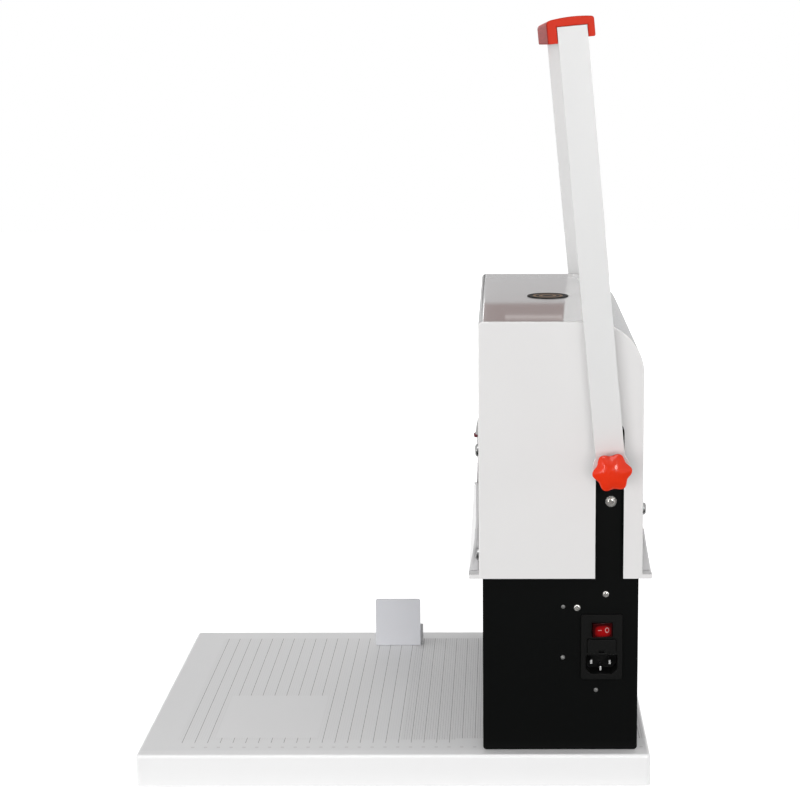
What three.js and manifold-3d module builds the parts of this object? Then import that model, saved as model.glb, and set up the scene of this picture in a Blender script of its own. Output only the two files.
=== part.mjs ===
// Three-hole electric archive binding machine, modelled as the pieces it comes apart into.
// Millimetres, +Z up. +X is the operator's right hand, -Y is the operator's side.
// The origin is the middle of the footprint, on the surface that the feet stand on.
import * as THREE from "three";
import { mergeVertices } from "three/addons/utils/BufferGeometryUtils.js";
import Module from "manifold-3d";

const wasm = await Module();
wasm.setup();

// Driving dimensions
const GAP = 0.3;
const OVERRUN = 5;
const MERGE_DISTANCE = 0.0002;

const PLATFORM = {
  length: 400,
  width: 330,
  height: 26,
  sheet: 2,
  cornerRadius: 6,
  edgeRadius: 1.2,
  floorGap: 1,
};
const FOOT = { radius: 9, inset: 20 };
const THROAT = { paperWidth: 297, sideClearance: 1.5, holeMargin: 16 };
const HOUSING = {
  depth: 120,
  headroom: 4,
  sheet: 3,
  rearSetback: 10,
  flange: 15,
  topCorner: 16,
};
const BACK_PLATE = { sheet: 1.5, underTop: 13, ventWidth: 36, ventHeight: 3, ventPitch: 9, ventLift: 22 };
const COVER = {
  sideGap: 4,
  sheet: 1.5,
  frontOverhang: 2.9,
  rearOverhang: 2.5,
  lift: 139.2,
  headroom: 25,
  frontRadius: 4,
  rearRadius: 41,
  edgeRadius: 1,
  slotWidth: 21.6,
  slotTop: 263.6,
  rimHeight: 3.4,
};
const COVER_SEAT = { size: 16, frontUpper: 236.6, frontLower: 155.8, rear: 191.3 };
const FRONT_GUARD = { sheet: 1.8, height: 73.5, reach: 7.7, straightHeight: 22, lip: 1.1, lipHeight: 2 };
const REAR_GUARD = { sheet: 1.5, height: 35, reach: 7.4 };
const LEVER = {
  pivotAheadOfRear: 23,
  pivotAboveDeck: 229,
  leanDegrees: 5.4,
  swingDegrees: 105,
  length: 328,
  armWidth: 22,
  armThickness: 5,
  armGap: 11.5,
  eyeRadius: 14,
  shaftRadius: 8,
  collarRadius: 10,
  squareWidth: 12,
  barHeight: 11.5,
  barWall: 2,
};
const GRIP = {
  frontLeg: 7.4,
  rearLeg: 5,
  frontDrop: 12,
  rearDrop: 9,
  thickness: 5.6,
  crown: 1.6,
  cornerRadius: 3.4,
  endRadius: 1,
  overhang: 0.5,
};
const KNOB = {
  lobeRadius: 15,
  waistRadius: 11.2,
  thickness: 13,
  edgeRadius: 1.5,
  hubRadius: 8,
  hubLength: 5,
  studRadius: 4,
  studDepth: 14,
  capRadius: 6,
  capHeight: 1.2,
};
const BUSH = { wall: 3, flange: 3, flangeSheet: 2.7 };
const LIFT = {
  module: 2,
  width: 8,
  fromSide: 28,
  backBar: 10,
  hubRadius: 14,
  hubWidth: 14,
  footLength: 23,
};
const COLUMN = { radius: 8, fromSide: 52, shaftGap: 1.3, footHeight: 6 };
const SPRING = { wireRadius: 0.8, bore: 9.6, clearance: 2 };
const BEAM = { sheet: 3, height: 12, depth: 32, clearance: 2 };
const CARRIAGE = {
  lift: 175,
  height: 28.3,
  floor: 6,
  wall: 4,
  frontWall: 2.4,
  lid: 4,
  sleeveRadius: 12,
  sleeveDrop: 14,
};
const DRILLS = {
  holeSpacing: 80,
  shaftRadius: 7,
  gearWidth: 8,
  gearLift: 4,
  idlerPinRadius: 4,
  pinHead: 3,
};
const CHUCK = {
  noseRadius: 12.5,
  noseLength: 12,
  neckRadius: 10,
  nutRadius: 12,
  nutTip: 8.6,
  nutLength: 20,
};
const BIT = { shankRadius: 5, shankLength: 40, radius: 3, bore: 2.1, reach: 60, bevel: 2, edge: 0.3 };
const MOTOR = {
  radius: 30,
  height: 67,
  flangeRadius: 33,
  flangeHeight: 4,
  capRadius: 24,
  capHeight: 6,
  stub: 20,
};
const PAD = { radius: 13, height: 6, cupWall: 2 };
const PANEL = { sheet: 1.5, underCarriage: 5 };
const FENCE = { depth: 4.7, height: 35, face: 2.7, lip: 2 };
const INLET = {
  aheadOfRear: 28.2,
  aboveDeck: 83.8,
  flangeDepth: 31.9,
  flangeHeight: 51.4,
  flangeThickness: 2.5,
  flangeRadius: 1.5,
  bodyDepth: 27.4,
  bodyHeight: 47,
  bodyLength: 30,
};
const SOCKET = { width: 24.6, height: 15.2, depth: 17, chamfer: 4, drop: 13.9, wallSpare: 3 };
const PIN = { width: 2, height: 4, length: 12, halfPitch: 7, earthDrop: 4, raise: 2.2 };
const FUSE = { width: 22, height: 10.6, depth: 20, lip: 1.2, raise: 1, pullNotch: 2 };
const ROCKER = { width: 15, height: 10.8, depth: 7, proud: 2.4, tiltDegrees: 8, raise: 14.1 };
const BUTTON = { radius: 2, proud: 4.1, domeLength: 1.6, stem: 9, flangeRadius: 4, flangeHeight: 1.5 };
const BUTTON_BLOCK = {
  fromSide: 48.5,
  aboveDeck: 242.2,
  width: 20,
  heightUp: 11.4,
  heightDown: 5,
  plate: 0.8,
  wedge: 1.8,
  collar: 5.5,
  depth: 6,
};
const BADGE = { radius: 17, height: 1.2, rimWidth: 2.5, behindFront: 55.9, offset: 4.7, edge: 0.4 };
const STOP = {
  plateX: -121.5,
  width: 40.8,
  height: 43.6,
  sheet: 1.5,
  foot: 22,
  cornerRadius: 2,
  rearY: 10.2,
  magnetHeight: 13,
  magnetDepth: 18,
  magnetProud: 1.8,
};
const BOARD = {
  width: 96,
  height: 62,
  sheet: 1.6,
  standoff: 5,
  aboveDeck: 40,
  offset: -30,
  blockSize: 24,
  blockHeight: 10,
};

// Counts and angles
const ARC_STEPS = 2;
const FINE_ARC_STEPS = 4;
const ROUND_SIDES = 20;
const SMALL_SIDES = 12;
const PRESSURE_ANGLE = THREE.MathUtils.degToRad(20);
const SPINDLE_TEETH = 20;
const IDLER_TEETH = 20;
const LIFT_TEETH = 30;
const FINE_FLANK_STEPS = 2;
const PLAIN_FLANK_STEPS = 1;
const BACKLASH_SHARE = 0.07;
const DEDENDUM_SHARE = 1.25;
const KNOB_LOBES = 6;
const KNOB_POINTS = 36;
const KNOB_PHASE = THREE.MathUtils.degToRad(6.5);
const SPRING_TURNS = 10;
const SPRING_STEPS = 8;
const SPRING_SIDES = 4;
const VENT_ROWS = 6;
const SIDES = { left: -1, right: 1 };

// Places worked out from the sizes
const deckTop = PLATFORM.height;
const deckUnderside = deckTop - PLATFORM.sheet;
const housingRear = PLATFORM.length / 2 - HOUSING.rearSetback;
const housingFront = housingRear - HOUSING.depth;
const innerX = THROAT.paperWidth / 2 + THROAT.sideClearance;
const outerX = innerX + HOUSING.sheet;
const coverInnerX = outerX + COVER.sideGap;
const coverOuterX = coverInnerX + COVER.sheet;
const coverFront = housingFront - COVER.frontOverhang;
const coverRear = housingRear + COVER.rearOverhang;
const coverBottom = deckTop + COVER.lift;
const pivotY = housingRear - LEVER.pivotAheadOfRear;
const columnX = innerX - COLUMN.fromSide;
const columnY = pivotY - LEVER.shaftRadius - COLUMN.shaftGap - COLUMN.radius;
const springRadius = SPRING.bore + SPRING.wireRadius;
const panelRear = columnY - springRadius - SPRING.wireRadius - SPRING.clearance;
const panelFront = panelRear - PANEL.sheet;
const fenceRear = panelFront - GAP;
const fenceFront = fenceRear - FENCE.depth;
const drillY = fenceFront - THROAT.holeMargin;
const pivotZ = deckTop + LEVER.pivotAboveDeck;
const armInnerX = coverOuterX + LEVER.armGap;
const armOuterX = armInnerX + LEVER.armThickness;
const liftX = innerX - LIFT.fromSide;
const liftRadius = (LIFT.module * LIFT_TEETH) / 2;
const liftStroke = liftRadius * THREE.MathUtils.degToRad(LEVER.swingDegrees);
const rackPitch = Math.PI * LIFT.module;
const rackTeeth = Math.ceil((liftStroke + 2 * LIFT.module) / rackPitch) + 1;
const rackTop = pivotZ + (rackTeeth - 1 / 2) * rackPitch;
const gearModule = DRILLS.holeSpacing / (SPINDLE_TEETH + IDLER_TEETH);
const spindleGearRadius = (gearModule * SPINDLE_TEETH) / 2;
const idlerX = spindleGearRadius + (gearModule * IDLER_TEETH) / 2;
const carriageBottom = deckTop + CARRIAGE.lift;
const carriageTop = carriageBottom + CARRIAGE.height;
const lidTop = carriageTop + CARRIAGE.lid;
const gearReach = spindleGearRadius + gearModule;
const trayHalfX = Math.max(liftX + LIFT.width / 2, DRILLS.holeSpacing + gearReach) + 2 * GAP;
const carriageHalfX = trayHalfX + CARRIAGE.wall;
const carriageFront = drillY - gearReach - GAP - CARRIAGE.frontWall;
const carriageRear = columnY + CARRIAGE.sleeveRadius + CARRIAGE.wall / 2;
const motorTop = lidTop + GAP + MOTOR.height;
const sleeveBottom = carriageBottom - CARRIAGE.sleeveDrop;
const bitTip = deckTop + liftStroke;
const nutBottom = bitTip + BIT.reach;
const noseBottom = nutBottom + CHUCK.nutLength + GAP;
const gearBottom = carriageBottom + CARRIAGE.floor + DRILLS.gearLift;
const beamTop = Math.max(rackTop, motorTop) + BEAM.clearance + BEAM.height;
const columnTop = beamTop - BEAM.sheet - GAP;
const housingTop = beamTop + HOUSING.headroom;
const coverTop = housingTop + COVER.headroom;
const backPlateRear = housingRear - HOUSING.sheet - GAP;
const backPlateFront = backPlateRear - BACK_PLATE.sheet;

// Finishes
const finish = (color, roughness, metalness) =>
  new THREE.MeshStandardMaterial({ color, roughness, metalness });
const FINISH = {
  whitePaint: finish(0xe6e5e3, 0.35, 0),
  deckPaint: finish(0xe9e9e8, 0.45, 0),
  greyPaint: finish(0xc1c2c6, 0.45, 0),
  blackPaint: finish(0x0e0f11, 0.5, 0),
  redPlastic: finish(0xe0391f, 0.35, 0),
  darkRed: finish(0x7a1216, 0.3, 0),
  greyPlastic: finish(0xa9a9a9, 0.5, 0),
  blackPlastic: finish(0x1a1b1b, 0.45, 0),
  rubber: finish(0x161616, 0.9, 0),
  steel: finish(0xb4b6b8, 0.3, 1),
  springSteel: finish(0x8c8e90, 0.35, 1),
  aluminium: finish(0xc4c6c8, 0.4, 1),
  bronze: finish(0xb98a4a, 0.4, 1),
  nylon: finish(0xf1efe6, 0.6, 0),
  magnet: finish(0x202124, 0.55, 0.2),
  board: finish(0x1f6a3a, 0.6, 0),
  badge: finish(0x17130f, 0.25, 0.4),
};

// Solids from three.js geometry, and back
const X_AXIS = new THREE.Vector3(1, 0, 0);
const Y_AXIS = new THREE.Vector3(0, 1, 0);
const Z_AXIS = new THREE.Vector3(0, 0, 1);
const SHAPE_TO_YZ = new THREE.Matrix4().makeBasis(Y_AXIS, Z_AXIS, X_AXIS);
const LATHE_TO_X = new THREE.Matrix4().makeBasis(Y_AXIS, X_AXIS, Z_AXIS.clone().negate());
const LATHE_TO_Z = new THREE.Matrix4().makeBasis(X_AXIS, Z_AXIS, Y_AXIS.clone().negate());

function solid(geometry) {
  const bare = geometry.index ? geometry.toNonIndexed() : geometry.clone();
  bare.deleteAttribute("normal");
  bare.deleteAttribute("uv");
  const merged = mergeVertices(bare, MERGE_DISTANCE);
  const mesh = new wasm.Mesh({
    numProp: 3,
    vertProperties: merged.attributes.position.array,
    triVerts: new Uint32Array(merged.index.array),
  });
  return new wasm.Manifold(mesh);
}

function geometryOf(made) {
  const mesh = made.getMesh();
  const positions = new Float32Array(mesh.numVert * 3);
  for (let i = 0; i < mesh.numVert; i += 1) {
    const start = i * mesh.numProp;
    positions.set(mesh.vertProperties.subarray(start, start + 3), i * 3);
  }
  const geometry = new THREE.BufferGeometry();
  geometry.setAttribute("position", new THREE.BufferAttribute(positions, 3));
  geometry.setIndex(new THREE.BufferAttribute(mesh.triVerts, 1));
  geometry.computeVertexNormals();
  return geometry;
}

const join = (first, ...rest) => rest.reduce((sum, next) => sum.add(next), first);
const cut = (first, ...rest) => rest.reduce((sum, next) => sum.subtract(next), first);

// A box between two corners.
function block([x0, x1], [y0, y1], [z0, z1]) {
  const geometry = new THREE.BoxGeometry(x1 - x0, y1 - y0, z1 - z0);
  geometry.translate((x0 + x1) / 2, (y0 + y1) / 2, (z0 + z1) / 2);
  return solid(geometry);
}

// An outline pushed along its own third axis, with its end edges cut back where a radius is given.
function extruded(shape, from, to, radius = 0, arcSteps = ARC_STEPS) {
  const geometry = new THREE.ExtrudeGeometry(shape, {
    depth: to - from - 2 * radius,
    curveSegments: arcSteps,
    bevelEnabled: radius > 0,
    bevelThickness: radius,
    bevelSize: radius,
    bevelOffset: -radius,
    bevelSegments: arcSteps > ARC_STEPS ? 2 : 1,
  });
  geometry.translate(0, 0, from + radius);
  return geometry;
}

const alongX = (shape, from, to, radius, arcSteps) =>
  solid(extruded(shape, from, to, radius, arcSteps).applyMatrix4(SHAPE_TO_YZ));
const alongZ = (shape, from, to, radius, arcSteps) => solid(extruded(shape, from, to, radius, arcSteps));

// A turned piece, from [radius, height] points that start and end on the axis or close on themselves.
function turned(profile, sides = ROUND_SIDES) {
  return new THREE.LatheGeometry(
    profile.map(([radius, height]) => new THREE.Vector2(radius, height)),
    sides,
  );
}

const turnedZ = (profile, x, y, sides) =>
  solid(turned(profile, sides).applyMatrix4(LATHE_TO_Z).translate(x, y, 0));
const turnedY = (profile, x, z, sides) => solid(turned(profile, sides).translate(x, 0, z));
const turnedX = (profile, y, z, sides) =>
  solid(turned(profile, sides).applyMatrix4(LATHE_TO_X).translate(0, y, z));

const rodProfile = (radius, from, to) => [
  [0, from],
  [radius, from],
  [radius, to],
  [0, to],
];
const rodZ = (x, y, radius, from, to, sides) => turnedZ(rodProfile(radius, from, to), x, y, sides);
const rodY = (x, z, radius, from, to, sides) => turnedY(rodProfile(radius, from, to), x, z, sides);
const rodX = (y, z, radius, from, to, sides) => turnedX(rodProfile(radius, from, to), y, z, sides);

// A closed outline through points, with straight edges.
const outline = (points) => new THREE.Shape(points.map(([u, v]) => new THREE.Vector2(u, v)));

// A rectangle with rounded corners, about a middle point.
function roundedRectangle(width, height, radius, u = 0, v = 0) {
  const right = u + width / 2;
  const left = u - width / 2;
  const top = v + height / 2;
  const bottom = v - height / 2;
  const quarter = Math.PI / 2;
  const shape = new THREE.Shape();
  shape.moveTo(left + radius, bottom);
  shape.lineTo(right - radius, bottom);
  shape.absarc(right - radius, bottom + radius, radius, -quarter, 0);
  shape.lineTo(right, top - radius);
  shape.absarc(right - radius, top - radius, radius, 0, quarter);
  shape.lineTo(left + radius, top);
  shape.absarc(left + radius, top - radius, radius, quarter, 2 * quarter);
  shape.lineTo(left, bottom + radius);
  shape.absarc(left + radius, bottom + radius, radius, 2 * quarter, 3 * quarter);
  return shape;
}

const machine = new THREE.Group();

function add(name, made, material, parent = machine) {
  const mesh = new THREE.Mesh(geometryOf(made), material);
  mesh.name = name;
  parent.add(mesh);
}

// Platform: a folded steel tray, its rubber feet and the nylon cutting pads under the drills
function platformTray() {
  const { length, width, height, sheet, cornerRadius, edgeRadius, floorGap } = PLATFORM;
  const outside = roundedRectangle(width, length, cornerRadius);
  const inside = roundedRectangle(width - 2 * sheet, length - 2 * sheet, cornerRadius - sheet);
  const tray = alongZ(outside, floorGap, height, edgeRadius);
  const hollow = alongZ(inside, floorGap - OVERRUN, deckUnderside);
  let made = cut(tray, hollow);
  for (const x of drillPlaces()) {
    const floor = deckTop - PAD.height - 2 * GAP;
    const cupRadius = PAD.radius + GAP + PAD.cupWall;
    const cup = rodZ(x, drillY, cupRadius, floor - PAD.cupWall, deckTop - sheet / 2);
    const well = rodZ(x, drillY, PAD.radius + GAP, floor, deckTop + OVERRUN);
    made = cut(join(made, cup), well);
  }
  return made;
}

const drillPlaces = () => [-1, 0, 1].map((step) => step * DRILLS.holeSpacing);

function foot(sideX, sideY) {
  const x = sideX * (PLATFORM.width / 2 - FOOT.inset);
  const y = sideY * (PLATFORM.length / 2 - FOOT.inset);
  const soleRadius = FOOT.radius - PLATFORM.edgeRadius;
  const profile = [
    [0, 0],
    [soleRadius, 0],
    [FOOT.radius, PLATFORM.edgeRadius],
    [FOOT.radius, deckUnderside - GAP],
    [0, deckUnderside - GAP],
  ];
  return turnedZ(profile, x, y, SMALL_SIDES);
}

function cuttingPad(x) {
  const top = deckTop - GAP;
  return rodZ(x, drillY, PAD.radius, top - PAD.height, top);
}

// Housing: side plates, back plate, throat panel, fence, head beam and guide columns
function sidePlate(side) {
  const { sheet, flange, topCorner } = HOUSING;
  const web = outline([
    [housingFront, deckTop + GAP],
    [housingRear, deckTop + GAP],
    [housingRear, housingTop - topCorner],
    [housingRear - topCorner, housingTop],
    [housingFront, housingTop],
  ]);
  const spanX = (inner, outer) => (side > 0 ? [inner, outer] : [-outer, -inner]);
  const [webLow, webHigh] = spanX(innerX, outerX);
  const flangeX = spanX(innerX - flange, innerX + sheet / 2);
  let made = join(
    alongX(web, webLow, webHigh),
    block(flangeX, [housingRear - sheet, housingRear], [deckTop + GAP, housingTop - topCorner]),
    block(flangeX, [panelRear + GAP, housingRear - sheet / 2], [deckTop + GAP, deckTop + GAP + sheet]),
    ...coverSeats(flangeX),
  );
  const boreRadius = LEVER.shaftRadius + BUSH.wall + 2 * GAP;
  made = cut(made, rodX(pivotY, pivotZ, boreRadius, webLow - OVERRUN, webHigh + OVERRUN));
  return side > 0 ? cut(made, inletCutout()) : made;
}

// Tabs that reach the inside of the cover's front and rear faces, where its screws go through.
function coverSeats(spanX) {
  const { size, frontUpper, frontLower, rear } = COVER_SEAT;
  const frontY = [coverFront + COVER.sheet + GAP, housingFront + HOUSING.sheet];
  const rearY = [housingRear - HOUSING.sheet, coverRear - COVER.sheet - GAP];
  const seat = (spanY, lift) => {
    const middle = deckTop + lift;
    return block(spanX, spanY, [middle - size / 2, middle + size / 2]);
  };
  return [seat(frontY, frontUpper), seat(frontY, frontLower), seat(rearY, rear)];
}

function backPlate() {
  const halfX = innerX - GAP;
  const top = housingTop - BACK_PLATE.underTop;
  const bottom = deckTop + HOUSING.sheet + 2 * GAP;
  let made = block([-halfX, halfX], [backPlateFront, backPlateRear], [bottom, top]);
  for (const side of [-1, 0, 1]) {
    for (let row = 0; row < VENT_ROWS; row += 1) {
      const x = side * DRILLS.holeSpacing;
      const z = deckTop + BACK_PLATE.ventLift + row * BACK_PLATE.ventPitch;
      const vent = block(
        [x - BACK_PLATE.ventWidth / 2, x + BACK_PLATE.ventWidth / 2],
        [backPlateFront - OVERRUN, backPlateRear + OVERRUN],
        [z, z + BACK_PLATE.ventHeight],
      );
      made = cut(made, vent);
    }
  }
  return made;
}

function throatPanel() {
  const halfX = innerX - GAP;
  const top = carriageBottom - liftStroke - PANEL.underCarriage;
  return block([-halfX, halfX], [panelFront, panelRear], [deckTop + GAP, top]);
}

// The fence is a shallow channel bar: paper is pushed up to its face, its lips rest on the panel.
function backFence() {
  const span = [-innerX + GAP, innerX - GAP];
  const bottom = deckTop + GAP;
  const top = bottom + FENCE.height;
  return join(
    block(span, [fenceFront, fenceFront + FENCE.face], [bottom, top]),
    block(span, [fenceFront, fenceRear], [bottom, bottom + FENCE.lip]),
    block(span, [fenceFront, fenceRear], [top - FENCE.lip, top]),
  );
}

// A channel across the top of the housing that holds the heads of the guide columns.
function headBeam() {
  const halfX = innerX - GAP;
  const front = columnY - BEAM.depth / 2;
  const rear = columnY + BEAM.depth / 2;
  const channel = outline([
    [front, beamTop - BEAM.height],
    [front + BEAM.sheet, beamTop - BEAM.height],
    [front + BEAM.sheet, beamTop - BEAM.sheet],
    [rear - BEAM.sheet, beamTop - BEAM.sheet],
    [rear - BEAM.sheet, beamTop - BEAM.height],
    [rear, beamTop - BEAM.height],
    [rear, beamTop],
    [front, beamTop],
  ]);
  return alongX(channel, -halfX, halfX);
}

function guideColumn(side) {
  const { radius, footHeight } = COLUMN;
  const footRadius = springRadius + SPRING.wireRadius;
  const bottom = deckTop + GAP;
  const profile = [
    [0, bottom],
    [footRadius, bottom],
    [footRadius, bottom + footHeight],
    [radius, bottom + footHeight],
    [radius, columnTop],
    [0, columnTop],
  ];
  return turnedZ(profile, side * columnX, columnY);
}

// Return springs: one open helix round each column, from its foot up to the carriage
function returnSpring(side) {
  const { wireRadius } = SPRING;
  const bottom = deckTop + GAP + COLUMN.footHeight + GAP + wireRadius;
  const top = sleeveBottom - GAP - wireRadius;
  class Helix extends THREE.Curve {
    getPoint(share, target = new THREE.Vector3()) {
      const angle = share * SPRING_TURNS * 2 * Math.PI;
      const x = side * columnX + springRadius * Math.cos(angle);
      const y = columnY + springRadius * Math.sin(angle);
      return target.set(x, y, bottom + share * (top - bottom));
    }
  }
  const section = [];
  for (let i = 0; i < SPRING_SIDES; i += 1) {
    const angle = (2 * Math.PI * i) / SPRING_SIDES;
    section.push([wireRadius * Math.cos(angle), wireRadius * Math.sin(angle)]);
  }
  const geometry = new THREE.ExtrudeGeometry(outline(section), {
    steps: SPRING_TURNS * SPRING_STEPS,
    extrudePath: new Helix(),
  });
  return solid(geometry);
}

// Cover: one painted sheet shell, open below, with a slot in each side for the lever shaft
function coverProfile(inset) {
  const front = coverFront + inset;
  const rear = coverRear - inset;
  const top = coverTop - inset;
  const bottom = inset > 0 ? coverBottom - OVERRUN : coverBottom;
  const frontRadius = COVER.frontRadius - inset;
  const rearRadius = COVER.rearRadius - inset;
  const quarter = Math.PI / 2;
  const shape = new THREE.Shape();
  shape.moveTo(front, bottom);
  shape.lineTo(rear, bottom);
  shape.lineTo(rear, top - rearRadius);
  shape.absarc(rear - rearRadius, top - rearRadius, rearRadius, 0, quarter);
  shape.lineTo(front + frontRadius, top);
  shape.absarc(front + frontRadius, top - frontRadius, frontRadius, quarter, 2 * quarter);
  return shape;
}

function slotShape() {
  const radius = COVER.slotWidth / 2;
  const centreZ = deckTop + COVER.slotTop - radius;
  const shape = new THREE.Shape();
  shape.moveTo(pivotY - radius, coverBottom - OVERRUN);
  shape.lineTo(pivotY + radius, coverBottom - OVERRUN);
  shape.absarc(pivotY, centreZ, radius, 0, Math.PI);
  return shape;
}

function coverShell() {
  const { rimHeight } = COVER;
  const rim = block(
    [-coverOuterX, coverOuterX],
    [coverFront - FRONT_GUARD.reach, coverRear + REAR_GUARD.reach],
    [coverBottom, coverBottom + rimHeight],
  );
  const shell = alongX(coverProfile(0), -coverOuterX, coverOuterX, COVER.edgeRadius, FINE_ARC_STEPS);
  const inside = alongX(coverProfile(COVER.sheet), -coverInnerX, coverInnerX, 0, FINE_ARC_STEPS);
  const slots = alongX(slotShape(), -coverOuterX - OVERRUN, coverOuterX + OVERRUN, 0, FINE_ARC_STEPS);
  return cut(join(shell, rim), inside, slots, buttonHole());
}

// Guards: curved sheets that sweep out from the front and rear faces to the cover's rim
function frontGuard() {
  const { sheet, height, reach, straightHeight, lip, lipHeight } = FRONT_GUARD;
  const wall = coverFront - GAP;
  const proud = wall - sheet;
  const bottom = coverBottom + COVER.rimHeight + GAP;
  const top = coverBottom + height;
  const bend = top - straightHeight;
  const tip = coverFront - reach;
  const shape = new THREE.Shape();
  shape.moveTo(tip, bottom);
  shape.lineTo(tip + sheet, bottom);
  shape.quadraticCurveTo(wall, (bottom + bend) / 2, wall, bend);
  shape.lineTo(wall, top);
  shape.lineTo(proud - lip, top);
  shape.lineTo(proud - lip, top - lipHeight);
  shape.lineTo(proud, top - lipHeight - lip);
  shape.lineTo(proud, bend);
  shape.quadraticCurveTo(proud, (bottom + bend) / 2, tip, bottom);
  return alongX(shape, -coverInnerX, coverInnerX, 0, FINE_ARC_STEPS);
}

function rearGuard() {
  const { sheet, height, reach } = REAR_GUARD;
  const wall = coverRear + GAP;
  const bottom = coverBottom + COVER.rimHeight + GAP;
  const top = coverBottom + height;
  const tip = coverRear + reach;
  const middle = (bottom + top) / 2;
  const shape = new THREE.Shape();
  shape.moveTo(tip - sheet, bottom);
  shape.lineTo(tip, bottom);
  shape.quadraticCurveTo(wall + sheet, middle, wall + sheet, top);
  shape.lineTo(wall, top);
  shape.quadraticCurveTo(wall, middle, tip - sheet, bottom);
  return alongX(shape, -coverInnerX, coverInnerX, 0, FINE_ARC_STEPS);
}

function badgeDisc() {
  const { radius, height, rimWidth, edge } = BADGE;
  const bottom = coverTop + GAP;
  const y = coverFront + BADGE.behindFront;
  const profile = [
    [0, bottom],
    [radius, bottom],
    [radius, bottom + height - edge],
    [radius - edge, bottom + height],
    [radius - rimWidth, bottom + height],
    [radius - rimWidth - edge, bottom + height - edge],
    [0, bottom + height - edge],
  ];
  return turnedZ(profile, BADGE.offset, y);
}

// Start button in its moulded block on the front face
const buttonX = coverOuterX - BUTTON_BLOCK.fromSide;
const buttonZ = deckTop + BUTTON_BLOCK.aboveDeck;

function buttonHole() {
  const { collar } = BUTTON_BLOCK;
  return rodY(buttonX, buttonZ, collar + GAP, coverFront - OVERRUN, coverFront + OVERRUN, SMALL_SIDES);
}

function buttonBlock() {
  const { width, heightUp, heightDown, plate, wedge, collar, depth } = BUTTON_BLOCK;
  const face = coverFront - GAP;
  const back = face + depth;
  const clear = BUTTON.radius + GAP;
  const profile = outline([
    [face, buttonZ - heightDown],
    [face, buttonZ + heightUp],
    [face - plate, buttonZ + heightUp],
    [face - plate - wedge, buttonZ + clear + plate],
    [face - plate - wedge, buttonZ + clear],
    [face - plate, buttonZ + clear],
    [face - plate, buttonZ - heightDown],
  ]);
  const rod = (radius, from, to) => rodY(buttonX, buttonZ, radius, from, to, SMALL_SIDES);
  return cut(
    join(alongX(profile, buttonX - width / 2, buttonX + width / 2), rod(collar, face - plate / 2, back)),
    rod(clear, face - OVERRUN, back + OVERRUN),
    rod(BUTTON.flangeRadius + GAP, face + plate, back + OVERRUN),
  );
}

function startButton() {
  const { radius, proud, domeLength, stem, flangeRadius, flangeHeight } = BUTTON;
  const tip = -proud;
  const seat = BUTTON_BLOCK.plate;
  const profile = [
    [0, tip],
    [radius / 2, tip + domeLength / 4],
    [radius, tip + domeLength],
    [radius, seat],
    [flangeRadius, seat],
    [flangeRadius, seat + flangeHeight],
    [radius, seat + flangeHeight],
    [radius, tip + stem],
    [0, tip + stem],
  ];
  const placed = profile.map(([r, y]) => [r, coverFront + y]);
  return turnedY(placed, buttonX, buttonZ, SMALL_SIDES);
}

// Mains inlet: a moulded module with a plug socket, a fuse drawer and a rocker switch
const inletY = housingRear - INLET.aheadOfRear;
const inletZ = deckTop + INLET.aboveDeck;
const inletFace = outerX + GAP + INLET.flangeThickness;
const socketZ = inletZ - SOCKET.drop;
const rockerZ = inletZ + ROCKER.raise;
const fuseZ = inletZ + FUSE.raise;
const rockerY = inletY + GAP;

function inletCutout() {
  const width = INLET.bodyDepth + 2 * GAP;
  const height = INLET.bodyHeight + 2 * GAP;
  const shape = roundedRectangle(width, height, GAP, inletY, inletZ);
  return alongX(shape, innerX - OVERRUN, outerX + OVERRUN);
}

function socketShape() {
  const { width, height, chamfer } = SOCKET;
  const half = width / 2;
  const top = socketZ + height / 2;
  const bottom = socketZ - height / 2;
  return outline([
    [inletY - half + chamfer, bottom],
    [inletY + half - chamfer, bottom],
    [inletY + half, bottom + chamfer],
    [inletY + half, top],
    [inletY - half, top],
    [inletY - half, bottom + chamfer],
  ]);
}

function inletModule() {
  const { flangeDepth, flangeHeight, flangeThickness, flangeRadius } = INLET;
  const { bodyDepth, bodyHeight, bodyLength } = INLET;
  const flange = roundedRectangle(flangeDepth, flangeHeight, flangeRadius, inletY, inletZ);
  const body = roundedRectangle(bodyDepth, bodyHeight, flangeRadius, inletY, inletZ);
  const socketBack = inletFace - SOCKET.depth;
  const rockerBack = inletFace - ROCKER.depth - SOCKET.wallSpare;
  const slotWidth = (width) => [inletY - width / 2 - GAP, inletY + width / 2 + GAP];
  const openEnd = inletFace + OVERRUN;
  let made = join(
    alongX(flange, outerX + GAP, inletFace, flangeThickness / 4),
    alongX(body, inletFace - bodyLength, outerX + flangeThickness),
  );
  made = cut(
    made,
    alongX(socketShape(), socketBack, openEnd),
    block(
      [inletFace - FUSE.depth - GAP, openEnd],
      slotWidth(FUSE.width),
      [fuseZ - FUSE.height / 2 - GAP, fuseZ + FUSE.height / 2 + GAP],
    ),
    block(
      [rockerBack, openEnd],
      [rockerY - ROCKER.width / 2 - 2 * GAP, rockerY + ROCKER.width / 2 + 2 * GAP],
      [rockerZ - ROCKER.height / 2 - GAP, rockerZ + ROCKER.height / 2 + GAP],
    ),
  );
  const pinX = [socketBack - SOCKET.wallSpare / 2, socketBack + PIN.length];
  const about = (middle, size) => [middle - size / 2, middle + size / 2];
  const pinAt = (y, z) => block(pinX, about(y, PIN.width), about(z, PIN.height));
  return join(
    made,
    pinAt(inletY - PIN.halfPitch, socketZ + PIN.raise),
    pinAt(inletY + PIN.halfPitch, socketZ + PIN.raise),
    pinAt(inletY, socketZ + PIN.raise - PIN.earthDrop),
  );
}

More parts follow.
